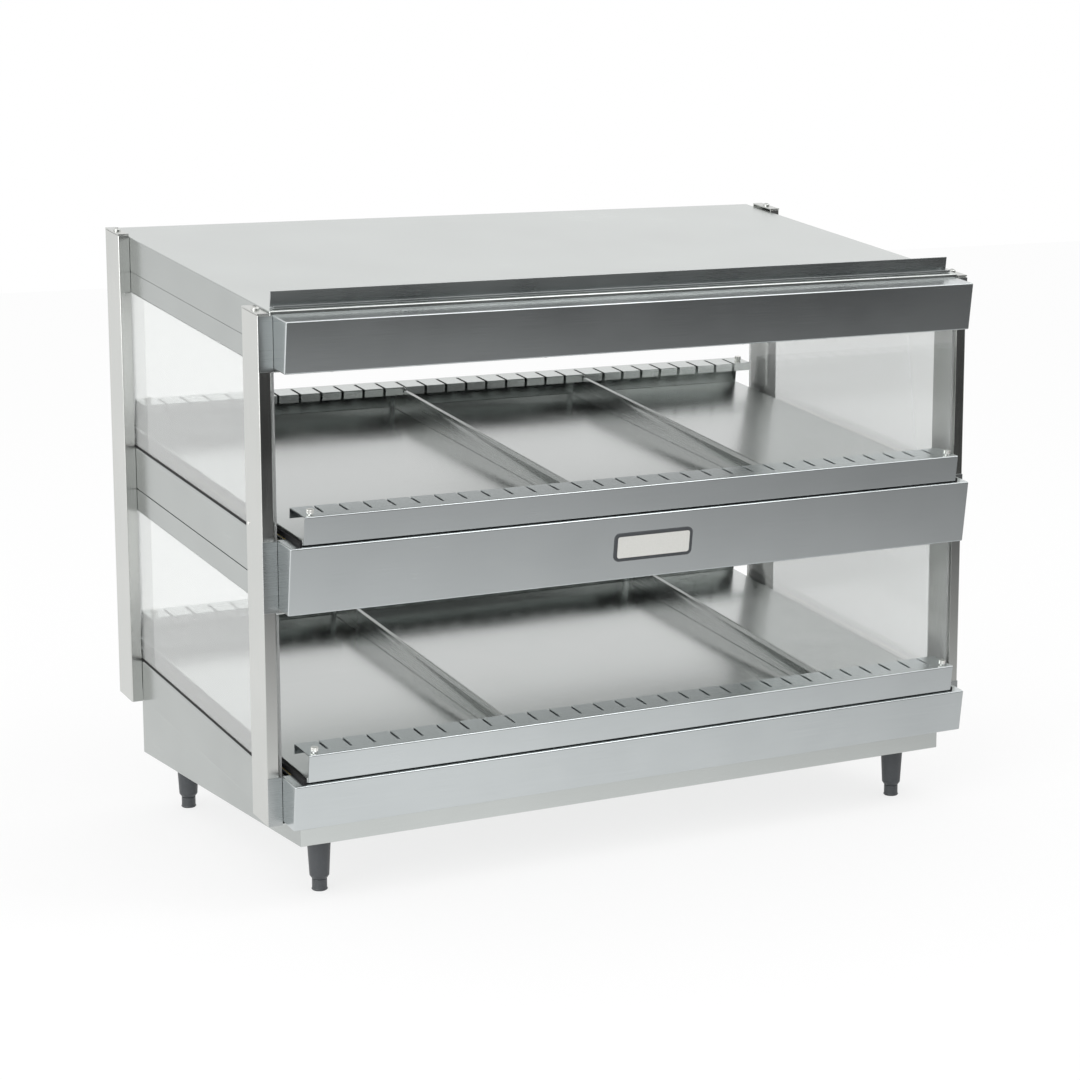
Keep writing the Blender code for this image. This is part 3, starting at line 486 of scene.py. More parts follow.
# %% Rounded copies of the sheet metal
FOLD_RADIUS = 1.6 * MM
CUT_EDGE = 0.3 * MM
NARROW_FACE = 3 * MM
FOLD_STEPS = 3
FLAT_WITHIN = math.radians(1)
SHARP_FROM = math.radians(20)


def face_width(face):
    """Roughly how wide a face is: its area over its longest side."""
    return face.calc_area() / max(edge.calc_length() for edge in face.edges)


def folded(node, material, fold=FOLD_RADIUS, cut=CUT_EDGE, body=CABINET):
    """A copy of a sheet-metal node with rounded folds and deburred edges."""
    bm = bmesh.new()
    bm.from_mesh(nodes[node].data)
    bmesh.ops.remove_doubles(bm, verts=bm.verts, dist=WELD)
    bmesh.ops.dissolve_limit(bm, angle_limit=FLAT_WITHIN, verts=bm.verts, edges=bm.edges)
    weight = bm.edges.layers.float.new("bevel_weight_edge")
    for edge in bm.edges:
        if not edge.is_manifold or edge.calc_face_angle() < SHARP_FROM or not edge.is_convex:
            continue
        is_fold = min(face_width(face) for face in edge.link_faces) > NARROW_FACE
        edge[weight] = 1.0 if is_fold else cut / fold
    made = piece(f"{node}_folded", bm, material, body, (node,))
    made.modifiers.clear()
    rounds = made.modifiers.new("rounded folds", "BEVEL")
    rounds.affect = "EDGES"
    rounds.limit_method = "WEIGHT"
    rounds.width = fold
    rounds.segments = FOLD_STEPS
    rounds.profile = 0.5
    rounds.material = -1
    rounds.use_clamp_overlap = False
    rounds.harden_normals = True
    return made


PLATE_ROUND = 0.8 * MM
DIVIDER_ROUND = 0.6 * MM
SLAB_SHEETS = ("pan", "fascia", "front_rail", "rear_rail", "control_panel")
sheet_nodes = ["canopy_top", "canopy_light_tray", "shelf_light_tray", "base_skirt", "canopy_fascia"]
for slab in SLABS:
    sheet_nodes += [f"{slab}_{part}" for part in SLAB_SHEETS]
for node in sheet_nodes:
    folded(node, fascia_steel if node.endswith(("fascia", "front_rail")) else steel)
for end in ("front", "rear"):
    for side in ("left", "right"):
        folded(f"post_{end}_{side}", upright_steel)
# The sign strip takes the darker steel, as painted shade.
folded("sign_holder", painted_shade_steel, fold=PLATE_ROUND)
for slab in SLABS:
    folded(f"{slab}_deck", deck_plate, fold=PLATE_ROUND)
    for side in ("left", "right"):
        node = f"{slab}_divider_{side}"
        folded(node, divider_steel, fold=DIVIDER_ROUND, body=node)

# %% [markdown]
# ## Rounded fittings
#
# Knobs, switches and the gland come out of moulds with soft edges, drawn zinc cans have round rims, and the
# panes' edges are flame polished. The same function rounds them, each with a radius of its own. What turns
# or tips rides on its own body.

# %% Moulded, drawn and polished edges
PLASTIC = "black_plastic"
ZINC = "zinc_steel"
FITTINGS = [
    ("cord_gland", nylon, PLASTIC, 0.8, CABINET),
    ("terminal_block", nylon, PLASTIC, 0.5, CABINET),
]
for slab in SLABS:
    FITTINGS.append((f"{slab}_thermostat", zinc, ZINC, 0.8, CABINET))
    FITTINGS.append((f"{slab}_knob", nylon, PLASTIC, 0.9, f"{slab}_knob"))
for switch in ("light_switch", "power_switch"):
    FITTINGS.append((f"{switch}_housing", nylon, PLASTIC, 0.6, CABINET))
    FITTINGS.append((switch, nylon, PLASTIC, 0.5, switch))
for level in ("canopy", "shelf"):
    FITTINGS.append((f"{level}_lamp_holder", zinc, ZINC, 0.5, CABINET))
for level in ("upper", "lower"):
    for side in ("left", "right"):
        FITTINGS.append((f"pane_{level}_{side}", acrylic, "clear_pane", 0.4, CABINET))
for node, material, slot, radius_mm, body in FITTINGS:
    folded(node, material, fold=radius_mm * MM, body=body)

# %% [markdown]
# ## Turned pieces and screw heads
#
# Legs, feet and screw heads are all round. Each starts as half of its outline, a row of points from the axis
# outwards, and a full spin turns it into a solid. The cross recess of a screw is cut afterwards with a
# Boolean whose result is kept and whose cutter is thrown away.

# %% Spinning an outline
ROUND_STEPS = 48


def spun(bm, outline, place, steps=ROUND_STEPS):
    """Adds a solid turned about its own Z from (radius, height) points, and sets it at a place."""
    verts = [bm.verts.new((radius, 0, height)) for radius, height in outline]
    edges = [bm.edges.new(pair) for pair in zip(verts, verts[1:])]
    before = set(bm.verts) - set(verts)
    bmesh.ops.spin(
        bm,
        geom=verts + edges,
        cent=(0, 0, 0),
        axis=(0, 0, 1),
        angle=math.tau,
        steps=steps,
        use_merge=True,
    )
    made = [vert for vert in bm.verts if vert not in before]
    bmesh.ops.remove_doubles(bm, verts=made, dist=WELD)
    made = [vert for vert in bm.verts if vert not in before]
    bmesh.ops.transform(bm, matrix=place, verts=made)
    return made


def arc(centre_radius, centre_height, radius, start, end, steps=5):
    """Points along a round corner of an outline, from one angle in degrees to another."""
    angles = [math.radians(start + (end - start) * n / steps) for n in range(steps + 1)]
    return [(centre_radius + radius * math.cos(a), centre_height + radius * math.sin(a)) for a in angles]


def block(bm, size, place):
    """Adds a block of a given size, centred on a place."""
    scale = Matrix.Diagonal((*size, 1))
    return bmesh.ops.create_cube(bm, size=1, matrix=place @ scale)["verts"]


def cut_away(made, cutter_bm):
    """Cuts a bmesh's shape out of a piece for good."""
    bmesh.ops.recalc_face_normals(cutter_bm, faces=cutter_bm.faces)
    mesh = bpy.data.meshes.new("cutter")
    cutter_bm.to_mesh(mesh)
    cutter_bm.free()
    cutter = bpy.data.objects.new("cutter", mesh)
    bpy.context.scene.collection.objects.link(cutter)
    made.modifiers.clear()
    cut = made.modifiers.new("cut", "BOOLEAN")
    cut.operation = "DIFFERENCE"
    cut.solver = "EXACT"
    cut.use_self = True
    cut.object = cutter
    bpy.context.view_layer.update()
    evaluated = made.evaluated_get(bpy.context.evaluated_depsgraph_get())
    result = bpy.data.meshes.new_from_object(evaluated)
    made.modifiers.remove(cut)
    made.data = result
    print(made.name, "has", len(result.polygons), "faces after its cut")
    even_shading(made)
    bpy.data.objects.remove(cutter)
    bpy.data.meshes.remove(mesh)
    return made


# %% [markdown]
# A pan head is a low dome on a short round wall. The recess is a cross of two thin blocks. All screws of one
# kind are one piece, because nobody tells them apart.

# %% Cross-recessed pan heads
SMALL_ROUND_STEPS = 24
WALL_SHARE = 0.4
SUNK_SHARE = 0.2
DOME_ANGLES = (0, 0.3, 0.6, 0.9, 1.2)
RECESS_LENGTH, RECESS_WIDTH, RECESS_DEPTH = 1.1, 0.22, 0.8


def pan_heads(name, places, radius, height, material=steel):
    """Pan-head screws at several places, each standing on its place's XY plane."""
    bm = bmesh.new()
    cutter = bmesh.new()
    wall = height * WALL_SHARE
    foot = -height * SUNK_SHARE
    dome = [(radius * math.cos(a), wall + (height - wall) * math.sin(a)) for a in DOME_ANGLES]
    outline = [(0, foot), (radius, foot), *dome, (0, height)]
    arm_size = (radius * RECESS_LENGTH, radius * RECESS_WIDTH, height * RECESS_DEPTH)
    for place in places:
        spun(bm, outline, place, steps=SMALL_ROUND_STEPS)
        for turn in (0, math.pi / 2):
            arm = place @ Matrix.Rotation(turn, 4, "Z") @ Matrix.Translation((0, 0, height))
            block(cutter, arm_size, arm)
    return cut_away(piece(name, bm, material), cutter)


def on(slope, x, s, t):
    """A place on a slope, upright to it."""
    return slope @ Matrix.Translation((x, s, t))


def slope_box(slope, node):
    """The corners of a node's box in a slope's own directions."""
    inverse = slope.inverted()
    corners = [inverse @ vert.co for vert in nodes[node].data.vertices]
    return [[pick(corner[axis] for corner in corners) for axis in range(3)] for pick in (min, max)]


# %% [markdown]
# ## Caps on the posts
#
# Each post is closed by a small plate with one pan-head screw. The model joins the two, so here the plate
# and the screws are made again: the plate as a thin block with rounded corners, the screws with their cross.

# %% Post caps
CAP_PLATE = 1.5 * MM
CAP_GAP = 0.3 * MM
CAP_EDGE = 0.4 * MM
CAP_HEAD_RADIUS = 4.5 * MM
CAP_HEAD_HEIGHT = 3.4 * MM
cap_places = []
for end in ("front", "rear"):
    for side in ("left", "right"):
        node = f"post_cap_{end}_{side}"
        low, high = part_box(node)
        post_low, post_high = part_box(f"post_{end}_{side}")
        middle = (low + high) / 2
        rise = post_high.z - (post_high.y - middle.y) * math.tan(SLOPE)
        place = Matrix.Translation((middle.x, middle.y, rise)) @ Matrix.Rotation(SLOPE, 4, "X")
        bm = bmesh.new()
        size = (high.x - low.x, (high.y - low.y) / math.cos(SLOPE), CAP_PLATE)
        block(bm, size, place @ Matrix.Translation((0, 0, CAP_GAP + CAP_PLATE / 2)))
        bmesh.ops.bevel(
            bm, geom=bm.edges, offset=CAP_EDGE, affect="EDGES", segments=2, profile=0.5, material=-1
        )
        piece(f"{node}_plate", bm, upright_steel, stands_for=(node,))
        cap_places.append(place @ Matrix.Translation((0, 0, CAP_GAP + CAP_PLATE)))
pan_heads("post_cap_screws", cap_places, CAP_HEAD_RADIUS, CAP_HEAD_HEIGHT, upright_steel)

# %% [markdown]
# ## Thumbscrews on the rails
#
# Each rail is held at both ends by a knurled thumbscrew, so that it lifts off for cleaning. The head is a
# turned drum with a rim that is cut into teeth. The teeth are bumps in the outline of a circle, pushed in
# by a formula after the spin.

# %% Knurled thumbscrews
THUMB_RADIUS = 4.2 * MM
THUMB_HEIGHT = 5.5 * MM
THUMB_NECK = 0.7 * THUMB_RADIUS
THUMB_NECK_HEIGHT = 1 * MM
THUMB_LOW_ROUND = 0.4 * MM
THUMB_TOP_ROUND = 0.7 * MM
KNURLS = 18
STEPS_PER_KNURL = 4
KNURLED_FROM = 0.9 * THUMB_RADIUS
KNURL_DEPTH = 0.35 * MM
THUMB_X = 413 * MM
FRONT_THUMB_S = 14 * MM
REAR_THUMB_INSET = 17 * MM


def thumbscrew(bm, place):
    """One knurled head standing on a place."""
    low_round, top_round = THUMB_LOW_ROUND, THUMB_TOP_ROUND
    body = [(0, 0), (THUMB_NECK, 0), (THUMB_NECK, THUMB_NECK_HEIGHT)]
    body += arc(THUMB_RADIUS - low_round, THUMB_NECK_HEIGHT + low_round, low_round, -90, 0, 3)
    body += arc(THUMB_RADIUS - top_round, THUMB_HEIGHT - top_round, top_round, 0, 90, 4)
    body += [(0, THUMB_HEIGHT)]
    made = spun(bm, body, Matrix(), steps=KNURLS * STEPS_PER_KNURL)
    for vert in made:
        radius = math.hypot(vert.co.x, vert.co.y)
        if radius > KNURLED_FROM:
            angle = math.atan2(vert.co.y, vert.co.x)
            inward = KNURL_DEPTH * (0.5 - 0.5 * math.cos(KNURLS * angle)) / radius
            vert.co.x *= 1 - inward
            vert.co.y *= 1 - inward
    bmesh.ops.transform(bm, matrix=place, verts=made)


bm = bmesh.new()
for slab, slope in SLABS.items():
    for rail, setback in (("front_rail", FRONT_THUMB_S), ("rear_rail", None)):
        _, back, top = slope_box(slope, f"{slab}_{rail}")[1]
        s = setback or back - REAR_THUMB_INSET
        for x in (-THUMB_X, THUMB_X):
            thumbscrew(bm, on(slope, x, s, top))
piece("rail_thumbscrews", bm, bright_nickel)

# %% [markdown]
# ## Legs and feet
#
# A leg is a moulded cone with a screwed foot below it. The photograph shows a short drum at the foot with a
# thin ring above it. Both are spun from outlines that follow the model's own sizes, with the round corners
# that a mould leaves.

# %% Legs and adjustable feet
LEG_TOP_RADIUS = 13.4 * MM
LEG_LOW_RADIUS = 10.9 * MM
LEG_END_RADIUS = 8.5 * MM
LEG_SHOULDER = 4 * MM
FOOT_RADIUS = 8.3 * MM
FOOT_RIM_RADIUS = 9.0 * MM
FOOT_RIM_HEIGHT = 3 * MM
STEM_RADIUS = 4 * MM
STEM_GAP = 0.3 * MM
STEM_END_GAP = 1 * MM
LEG_ROUND = 0.8 * MM
LEG_TOP_ROUND = 0.6 * MM
SHOULDER_SLOPE_IN, SHOULDER_SLOPE_DOWN = 0.6 * MM, 0.7 * MM
SHOULDER_RISE = 0.4 * MM
FOOT_LOW_ROUND = 0.6 * MM
FOOT_ROUND = 0.5 * MM
DRAFT_DEGREES = 4

for end in ("front", "rear"):
    for side in ("left", "right"):
        leg = f"leg_{end}_{side}"
        foot = f"foot_{end}_{side}"
        low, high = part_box(leg)
        foot_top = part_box(foot)[1].z
        axis = Matrix.Translation(((low.x + high.x) / 2, (low.y + high.y) / 2, 0))
        shoulder = low.z + LEG_SHOULDER
        bore = STEM_RADIUS + STEM_GAP
        bore_top = foot_top + STEM_END_GAP
        outline = [(0, bore_top), (bore, bore_top), (bore, low.z)]
        outline += arc(LEG_END_RADIUS - LEG_ROUND, low.z + LEG_ROUND, LEG_ROUND, -90, -10, 3)
        outline += [(LEG_LOW_RADIUS - SHOULDER_SLOPE_IN, shoulder - SHOULDER_SLOPE_DOWN)]
        outline += arc(LEG_LOW_RADIUS - LEG_ROUND, shoulder + SHOULDER_RISE, LEG_ROUND, -40, DRAFT_DEGREES, 3)
        top_round = LEG_TOP_ROUND
        outline += arc(LEG_TOP_RADIUS - top_round, high.z - top_round, top_round, DRAFT_DEGREES, 90, 3)
        outline += [(0, high.z)]
        bm = bmesh.new()
        spun(bm, outline, axis)
        piece(f"{leg}_moulding", bm, nylon, stands_for=(leg,))

        pad_top = low.z - STEM_GAP
        low_round, small = FOOT_LOW_ROUND, FOOT_ROUND
        outline = [(0, 0), *arc(FOOT_RADIUS - low_round, low_round, low_round, -90, -30, 3)]
        outline += arc(FOOT_RIM_RADIUS - small, FOOT_RIM_HEIGHT / 2, small, -45, 45, 4)
        outline += [(FOOT_RADIUS, FOOT_RIM_HEIGHT)]
        outline += arc(FOOT_RADIUS - small, pad_top - small, small, 0, 90, 3)
        outline += [(STEM_RADIUS, pad_top), (STEM_RADIUS, foot_top), (0, foot_top)]
        bm = bmesh.new()
        spun(bm, outline, axis)
        piece(f"{foot}_moulding", bm, nylon, body=foot, stands_for=(foot,))

# %% [markdown]
# ## The blank badge plate
#
# A small plate with round corners sits in the middle of the shelf's fascia. Its dark rim stands a little
# proud of a pale panel, and it stays blank. A grid square is stretched to size, its corners are rounded
# with a vertex bevel, an inset makes the rim, and the panel's face is pushed back.

# %% Badge plate
BADGE_WIDTH = 101 * MM
BADGE_HEIGHT = 32 * MM
BADGE_X = 3 * MM
BADGE_T = -36 * MM
BADGE_CORNER = 6 * MM
BADGE_THICKNESS = 1.2 * MM
BADGE_RIM = 3.2 * MM
BADGE_RECESS = 0.4 * MM
BADGE_SUNK = 0.1 * MM
PANEL_GAP = 0.5 * MM
PANEL_THICKNESS = 0.3 * MM


def rounded_plate(bm, width, height, corner, thickness, place):
    """A flat plate with round corners, its back on the place's XY plane; returns its top face."""
    sized = Matrix.Diagonal((width / 2, height / 2, 1, 1))
    verts = bmesh.ops.create_grid(bm, x_segments=1, y_segments=1, size=1, matrix=sized)["verts"]
    bmesh.ops.bevel(
        bm, geom=verts, offset=corner, affect="VERTICES", segments=6, profile=0.5, material=-1
    )
    bottom = bm.faces[:][-1]
    raised = bmesh.ops.extrude_face_region(bm, geom=[bottom], use_keep_orig=True)["geom"]
    verts = [item for item in raised if isinstance(item, bmesh.types.BMVert)]
    bmesh.ops.translate(bm, verts=verts, vec=(0, 0, thickness))
    top = [item for item in raised if isinstance(item, bmesh.types.BMFace)][0]
    bmesh.ops.transform(bm, matrix=place, verts=bm.verts)
    return top


to_front = Matrix.Rotation(math.pi / 2, 4, "X")
face_out = SHELF @ Matrix.Translation((BADGE_X, -BADGE_SUNK, BADGE_T)) @ to_front
bm = bmesh.new()
top = rounded_plate(bm, BADGE_WIDTH, BADGE_HEIGHT, BADGE_CORNER, BADGE_THICKNESS, face_out)
bmesh.ops.inset_individual(bm, faces=[top], thickness=BADGE_RIM, depth=-BADGE_RECESS)
piece("badge_rim", bm, nylon)
bm = bmesh.new()
panel_place = face_out @ Matrix.Translation((0, 0, BADGE_THICKNESS - BADGE_RECESS))
rounded_plate(
    bm,
    BADGE_WIDTH - 2 * (BADGE_RIM + PANEL_GAP),
    BADGE_HEIGHT - 2 * (BADGE_RIM + PANEL_GAP),
    BADGE_CORNER - BADGE_RIM,
    PANEL_THICKNESS,
    panel_place,
)
piece("badge_panel", bm, ivory)

# %% [markdown]
# ## Trim round the panes and posts
#
# A thin black seal lies along the foot of each pane and hides the gap above the ledge. A black gasket closes
# the side of each slab between the deck and the curb, so that no insulation shows. Beside each fascia a small
# lap plate of the same height covers the front of the post, and another plate closes the rear end of each
# pan's side channel. All are plain strips with broken edges.

# %% Seals and lap plates
SEAL_WIDTH = 4.2 * MM
SEAL_HEIGHT = 2.6 * MM
SEAL_EDGE = 0.6 * MM
GASKET_WIDTH = 3.2 * MM
GASKET_HEIGHT = 6 * MM
GASKET_RISE = 3 * MM
GASKET_GAP = 0.1 * MM
GASKET_EDGE = 0.5 * MM
LAP_THICKNESS = 0.9 * MM
LAP_GAP = 0.2 * MM
LAP_SIDE_GAP = 0.3 * MM
LAP_END_GAP = 1 * MM
LAP_EDGE = 0.3 * MM
PLUG_X = 435.2 * MM
PLUG_WIDTH = 15.2 * MM
PLUG_SHORTER = 1 * MM
PLUG_SUNK = 0.4 * MM
PLUG_EDGE = 0.2 * MM


def strip(name, size, place, material, edge):
    """A straight strip with rounded edges."""
    bm = bmesh.new()
    block(bm, size, place)
    bmesh.ops.bevel(bm, geom=bm.edges, offset=edge, affect="EDGES", segments=2, profile=0.5, material=-1)
    return piece(name, bm, material)


for level, slope in (("upper", SHELF), ("lower", BASE)):
    for side in ("left", "right"):
        low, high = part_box(f"pane_{level}_{side}")
        x = (low.x + high.x) / 2
        length = (high.y - low.y) / math.cos(SLOPE)
        s = ((low.y + high.y) / 2 - FRONT_Y) / math.cos(SLOPE)
        local = slope.inverted() @ Vector((x, low.y, low.z))
        t = local.z + SEAL_HEIGHT / 2
        strip(
            f"pane_seal_{level}_{side}",
            (SEAL_WIDTH, length, SEAL_HEIGHT),
            on(slope, x, s, t),
            rubber,
            SEAL_EDGE,
        )
for slab, slope in SLABS.items():
    low, high = slope_box(slope, f"{slab}_deck")
    depth = high[1] - low[1]
    t = low[2] - GASKET_HEIGHT / 2 + GASKET_RISE
    for side, x in (("left", low[0]), ("right", high[0])):
        outward = math.copysign(GASKET_WIDTH / 2 + GASKET_GAP, x)
        size = (GASKET_WIDTH, depth, GASKET_HEIGHT)
        place = on(slope, x + outward, low[1] + depth / 2, t)
        strip(f"{slab}_deck_gasket_{side}", size, place, rubber, GASKET_EDGE)
for slab in SLABS:
    pan_low, pan_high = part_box(f"{slab}_pan")
    height = pan_high.z - pan_low.z - (pan_high.y - pan_low.y) * math.tan(SLOPE)
    for side, x in (("left", -PLUG_X), ("right", PLUG_X)):
        size = (PLUG_WIDTH, LAP_THICKNESS, height - PLUG_SHORTER)
        place = Matrix.Translation((x, pan_high.y - PLUG_SUNK, pan_high.z - height / 2))
        strip(f"{slab}_channel_plug_{side}", size, place, upright_steel, PLUG_EDGE)
for slab in ("canopy", "shelf", "base"):
    fascia_low, fascia_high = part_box(f"{slab}_fascia")
    for side in ("left", "right"):
        post_low, post_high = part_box(f"post_front_{side}")
        inner = fascia_high.x if side == "right" else fascia_low.x
        outer = post_high.x if side == "right" else post_low.x
        width = abs(outer - inner) - 2 * LAP_SIDE_GAP
        height = (fascia_high.z - fascia_low.z) / math.cos(SLOPE) - 2 * LAP_END_GAP
        top = fascia_high.z - LAP_END_GAP
        centre = ((inner + outer) / 2, post_low.y - LAP_GAP - LAP_THICKNESS / 2, top - height / 2)
        # The lap plates take the darker steel too, as painted shade.
        strip(
            f"lap_plate_{slab}_{side}",
            (width, LAP_THICKNESS, height),
            Matrix.Translation(centre),
            painted_shade_steel,
            LAP_EDGE,
        )

# %% [markdown]
# ## Screws in sight
#
# Pan heads hold the canopy's fascia from below and close the rear panels. A flat rivet sits on the outer
# side of each front post at the height of the shelf. The screws have the usual size of an M4 head.

# %% Screws and rivets
SCREW_RADIUS = 3.6 * MM
SCREW_HEIGHT = 2.2 * MM
SHEET = 1.2 * MM
FASCIA_SCREWS_X = (-382.5 * MM, -127.5 * MM, 127.5 * MM, 382.5 * MM)
FASCIA_SCREWS_S = 10 * MM
PANEL_SCREWS_X = (-412 * MM, -138 * MM, 138 * MM, 412 * MM)
PANEL_SCREW_INSET = 9 * MM
RIVET_RADIUS = 2.2 * MM
RIVET_SUNK = 0.2 * MM
RIVET_WALL = 0.2 * MM
RIVET_ROUND = 0.6 * MM
RIVET_INSET = 7 * MM
RIVET_Z = 412 * MM
HALF_TURN = Matrix.Rotation(math.pi, 4, "X")
TO_REAR = Matrix.Rotation(-math.pi / 2, 4, "X")


def to_side(turn):
    """A quarter turn that aims a piece's Z right for 1 or left for -1."""
    return Matrix.Rotation(turn * math.pi / 2, 4, "Y")


below = slope_box(CANOPY, "canopy_fascia")[0][2]
places = [on(CANOPY, x, FASCIA_SCREWS_S, below) @ HALF_TURN for x in FASCIA_SCREWS_X]
pan_heads("canopy_fascia_screws", places, SCREW_RADIUS, SCREW_HEIGHT)
places = []
for slab, slope in SLABS.items():
    low, high = slope_box(slope, f"{slab}_control_panel")
    for x in PANEL_SCREWS_X:
        for t in (low[2] + PANEL_SCREW_INSET, high[2] - PANEL_SCREW_INSET):
            places.append(on(slope, x, low[1] + SHEET, t) @ TO_REAR)
pan_heads("rear_panel_screws", places, SCREW_RADIUS, SCREW_HEIGHT)

outline = [(0, -RIVET_SUNK), (RIVET_RADIUS, -RIVET_SUNK), (RIVET_RADIUS, RIVET_WALL)]
outline += arc(RIVET_RADIUS - RIVET_ROUND, RIVET_WALL, RIVET_ROUND, 0, 90, 3)
outline += [(0, RIVET_WALL + RIVET_ROUND)]
bm = bmesh.new()
for side, turn in (("left", -1), ("right", 1)):
    low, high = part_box(f"post_front_{side}")
    outer = high.x if side == "right" else low.x
    place = Matrix.Translation((outer, high.y - RIVET_INSET, RIVET_Z)) @ to_side(turn)
    spun(bm, outline, place, steps=SMALL_ROUND_STEPS)
piece("post_rivets", bm, bright_nickel)

# %% [markdown]
# ## Lamp caps and the gland's nut
#
# A tube lamp ends in two bright metal caps, pressed from thin sheet. The cord leaves the base through a
# gland that a hexagonal nut holds; a spin in six steps gives the hexagon. The cord itself is left out.

# %% Caps and nut
LAMP_CAP_LENGTH = 14 * MM
LAMP_CAP_WALL = 0.5 * MM
LAMP_CAP_ROUND = 0.8 * MM
LAMP_CAP_GAP = 0.2 * MM
LAMP_CAP_STEPS = 32
NUT_OVERLAP = 1 * MM
NUT_WIDTH = 4 * MM
NUT_HEIGHT = 6 * MM
NUT_EDGE = 0.6 * MM
NUT_RISE = 8 * MM
bm = bmesh.new()
for node in ("canopy_lamp", "shelf_lamp"):
    low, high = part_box(node)
    middle = (low + high) / 2
    radius = (high.z - low.z) / 2 + LAMP_CAP_WALL
    outline = [(0, 0), *arc(radius - LAMP_CAP_ROUND, LAMP_CAP_ROUND, LAMP_CAP_ROUND, -90, 0, 4)]
    outline += [(radius, LAMP_CAP_LENGTH), (radius - LAMP_CAP_WALL, LAMP_CAP_LENGTH)]
    for end, turn in ((low.x - LAMP_CAP_GAP, 1), (high.x + LAMP_CAP_GAP, -1)):
        place = Matrix.Translation((end, middle.y, middle.z)) @ to_side(turn)
        spun(bm, outline, place, steps=LAMP_CAP_STEPS)
piece("lamp_caps", bm, bright_nickel)

low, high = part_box("cord_gland")
middle = (low + high) / 2
inner = (high.x - low.x) / 2 - NUT_OVERLAP
outer = inner + NUT_WIDTH
ring = [(inner, 0), (outer - NUT_EDGE, 0), (outer, NUT_EDGE), (outer, NUT_HEIGHT - NUT_EDGE)]
ring += [(outer - NUT_EDGE, NUT_HEIGHT), (inner, NUT_HEIGHT), (inner, 0)]
bm = bmesh.new()
spun(bm, ring, Matrix.Translation((middle.x, middle.y, low.z + NUT_RISE)), steps=6)
piece("cord_gland_nut", bm, nylon)

# %% [markdown]
# ## Marks on the control panels
#
# A heat dial needs a scale, and a switch needs an on and an off side. The marks are printed on the real
# panel; here they are thin raised strokes: ticks that grow with the heat, a bar and a ring. The pointer is
# part of the knob and turns with it.

# %% Dial ticks, pointers, bar and ring
TICKS = 7
TICK_RADIUS = 21.5 * MM
TICK_WIDTH = 0.9 * MM
FIRST_TICK = 1.6 * MM
TICK_GROWTH = 0.35 * MM
TICK_STEP_DEGREES = 45
MARKS_BESIDE_SWITCH = 12 * MM
MARK_RISE = 7 * MM
BAR_SIZE = (1.1 * MM, 6 * MM)
RING_INNER, RING_OUTER = 2.2 * MM, 3 * MM
POINTER_SIZE = (1.4 * MM, 9 * MM)
POINTER_RADIUS = 9 * MM
PRINT = 0.25 * MM
SWITCHES = {"shelf": "light_switch", "base": "power_switch"}
for slab, slope in SLABS.items():
    panel_s = slope_box(slope, f"{slab}_control_panel")[0][1] + SHEET
    low, high = slope_box(slope, f"{slab}_knob")
    x, t = (low[0] + high[0]) / 2, (low[2] + high[2]) / 2
    face = on(slope, x, panel_s, t) @ TO_REAR
    bm = bmesh.new()
    for tick in range(TICKS):
        turn = Matrix.Rotation(math.radians(TICK_STEP_DEGREES * (tick + 1)), 4, "Z")
        length = FIRST_TICK + TICK_GROWTH * tick
        outward = Matrix.Translation((0, TICK_RADIUS + length / 2, 0))
        block(bm, (TICK_WIDTH, length, PRINT), face @ turn @ outward)
    switch_low, switch_high = slope_box(slope, SWITCHES[slab])
    side = switch_low[0] - MARKS_BESIDE_SWITCH
    middle = (switch_low[2] + switch_high[2]) / 2
    block(bm, (*BAR_SIZE, PRINT), on(slope, side, panel_s, middle + MARK_RISE) @ TO_REAR)
    ring = [(RING_INNER, 0), (RING_OUTER, 0), (RING_OUTER, PRINT), (RING_INNER, PRINT), (RING_INNER, 0)]
    ring_place = on(slope, side, panel_s, middle - MARK_RISE) @ TO_REAR
    spun(bm, ring, ring_place, steps=SMALL_ROUND_STEPS)
    piece(f"{slab}_panel_marks", bm, ivory)
    bm = bmesh.new()
    block(bm, (*POINTER_SIZE, PRINT), on(slope, x, high[1], t - POINTER_RADIUS) @ TO_REAR)
    piece(f"{slab}_knob_pointer", bm, ivory, body=f"{slab}_knob")

# %% [markdown]
# ## Finishes for the rest
#
# The heater mats, the insulation boards and the lamp tubes keep the model's own solids, which already have
# the right shape. A finish goes into the material slot of each.

# %% Dress the remaining nodes
DRESS = {"heater": film, "insulation": wool, "lamp": lamp_glass}
for name, node in nodes.items():
    if not node.hide_render:
        node.data.materials.clear()
        node.data.materials.append(DRESS[name.split("_")[-1]])
print("still the model's own solids:", sorted(name for name, node in nodes.items() if not node.hide_render))

# %% [markdown]
# ## The studio
#
# The photograph was made on white paper. Brushed steel is only as bright as what it mirrors, so the paper
# matters as much as the lamps: near the cabinet it is white, and far in front of it, where the room is dark,
# the steel that looks down and forwards turns grey. The floor here fades the same way for every ray but the
# camera's own, which sees it nearly white with the cabinet's soft shadow on it.
#
# The key lamp makes the shadow. The other two are there for the folds: a round edge mirrors a wide arc of
# the room, so a lamp that stands in this arc draws a thin bright line along it. One stands low at the left
# for the upright folds, the other high in front for the long level ones.

# %% Floor, world and lamps
FLOOR_SIZE = 14.0
FLOOR_SEEN = 0.95
FLOOR_LIFT = 0.75
FAR_TONE, NEAR_TONE = 0.05, 0.93
# Each pair: the share of the way from far to near, and the paper's tone there.
TONES_BETWEEN = ((0.30, 0.34), (0.41, 0.50), (0.69, 0.64))
# The floor's fades start and end at these places, in metres from the cabinet's middle.
FADE_FROM_FRONT = (-2.1, -0.45)
FADE_TO_RIGHT, RIGHT_TONE = (-0.15, 1.2), 0.48
FADE_TO_LEFT, LEFT_TONE = (-1.6, -0.9), 0.95
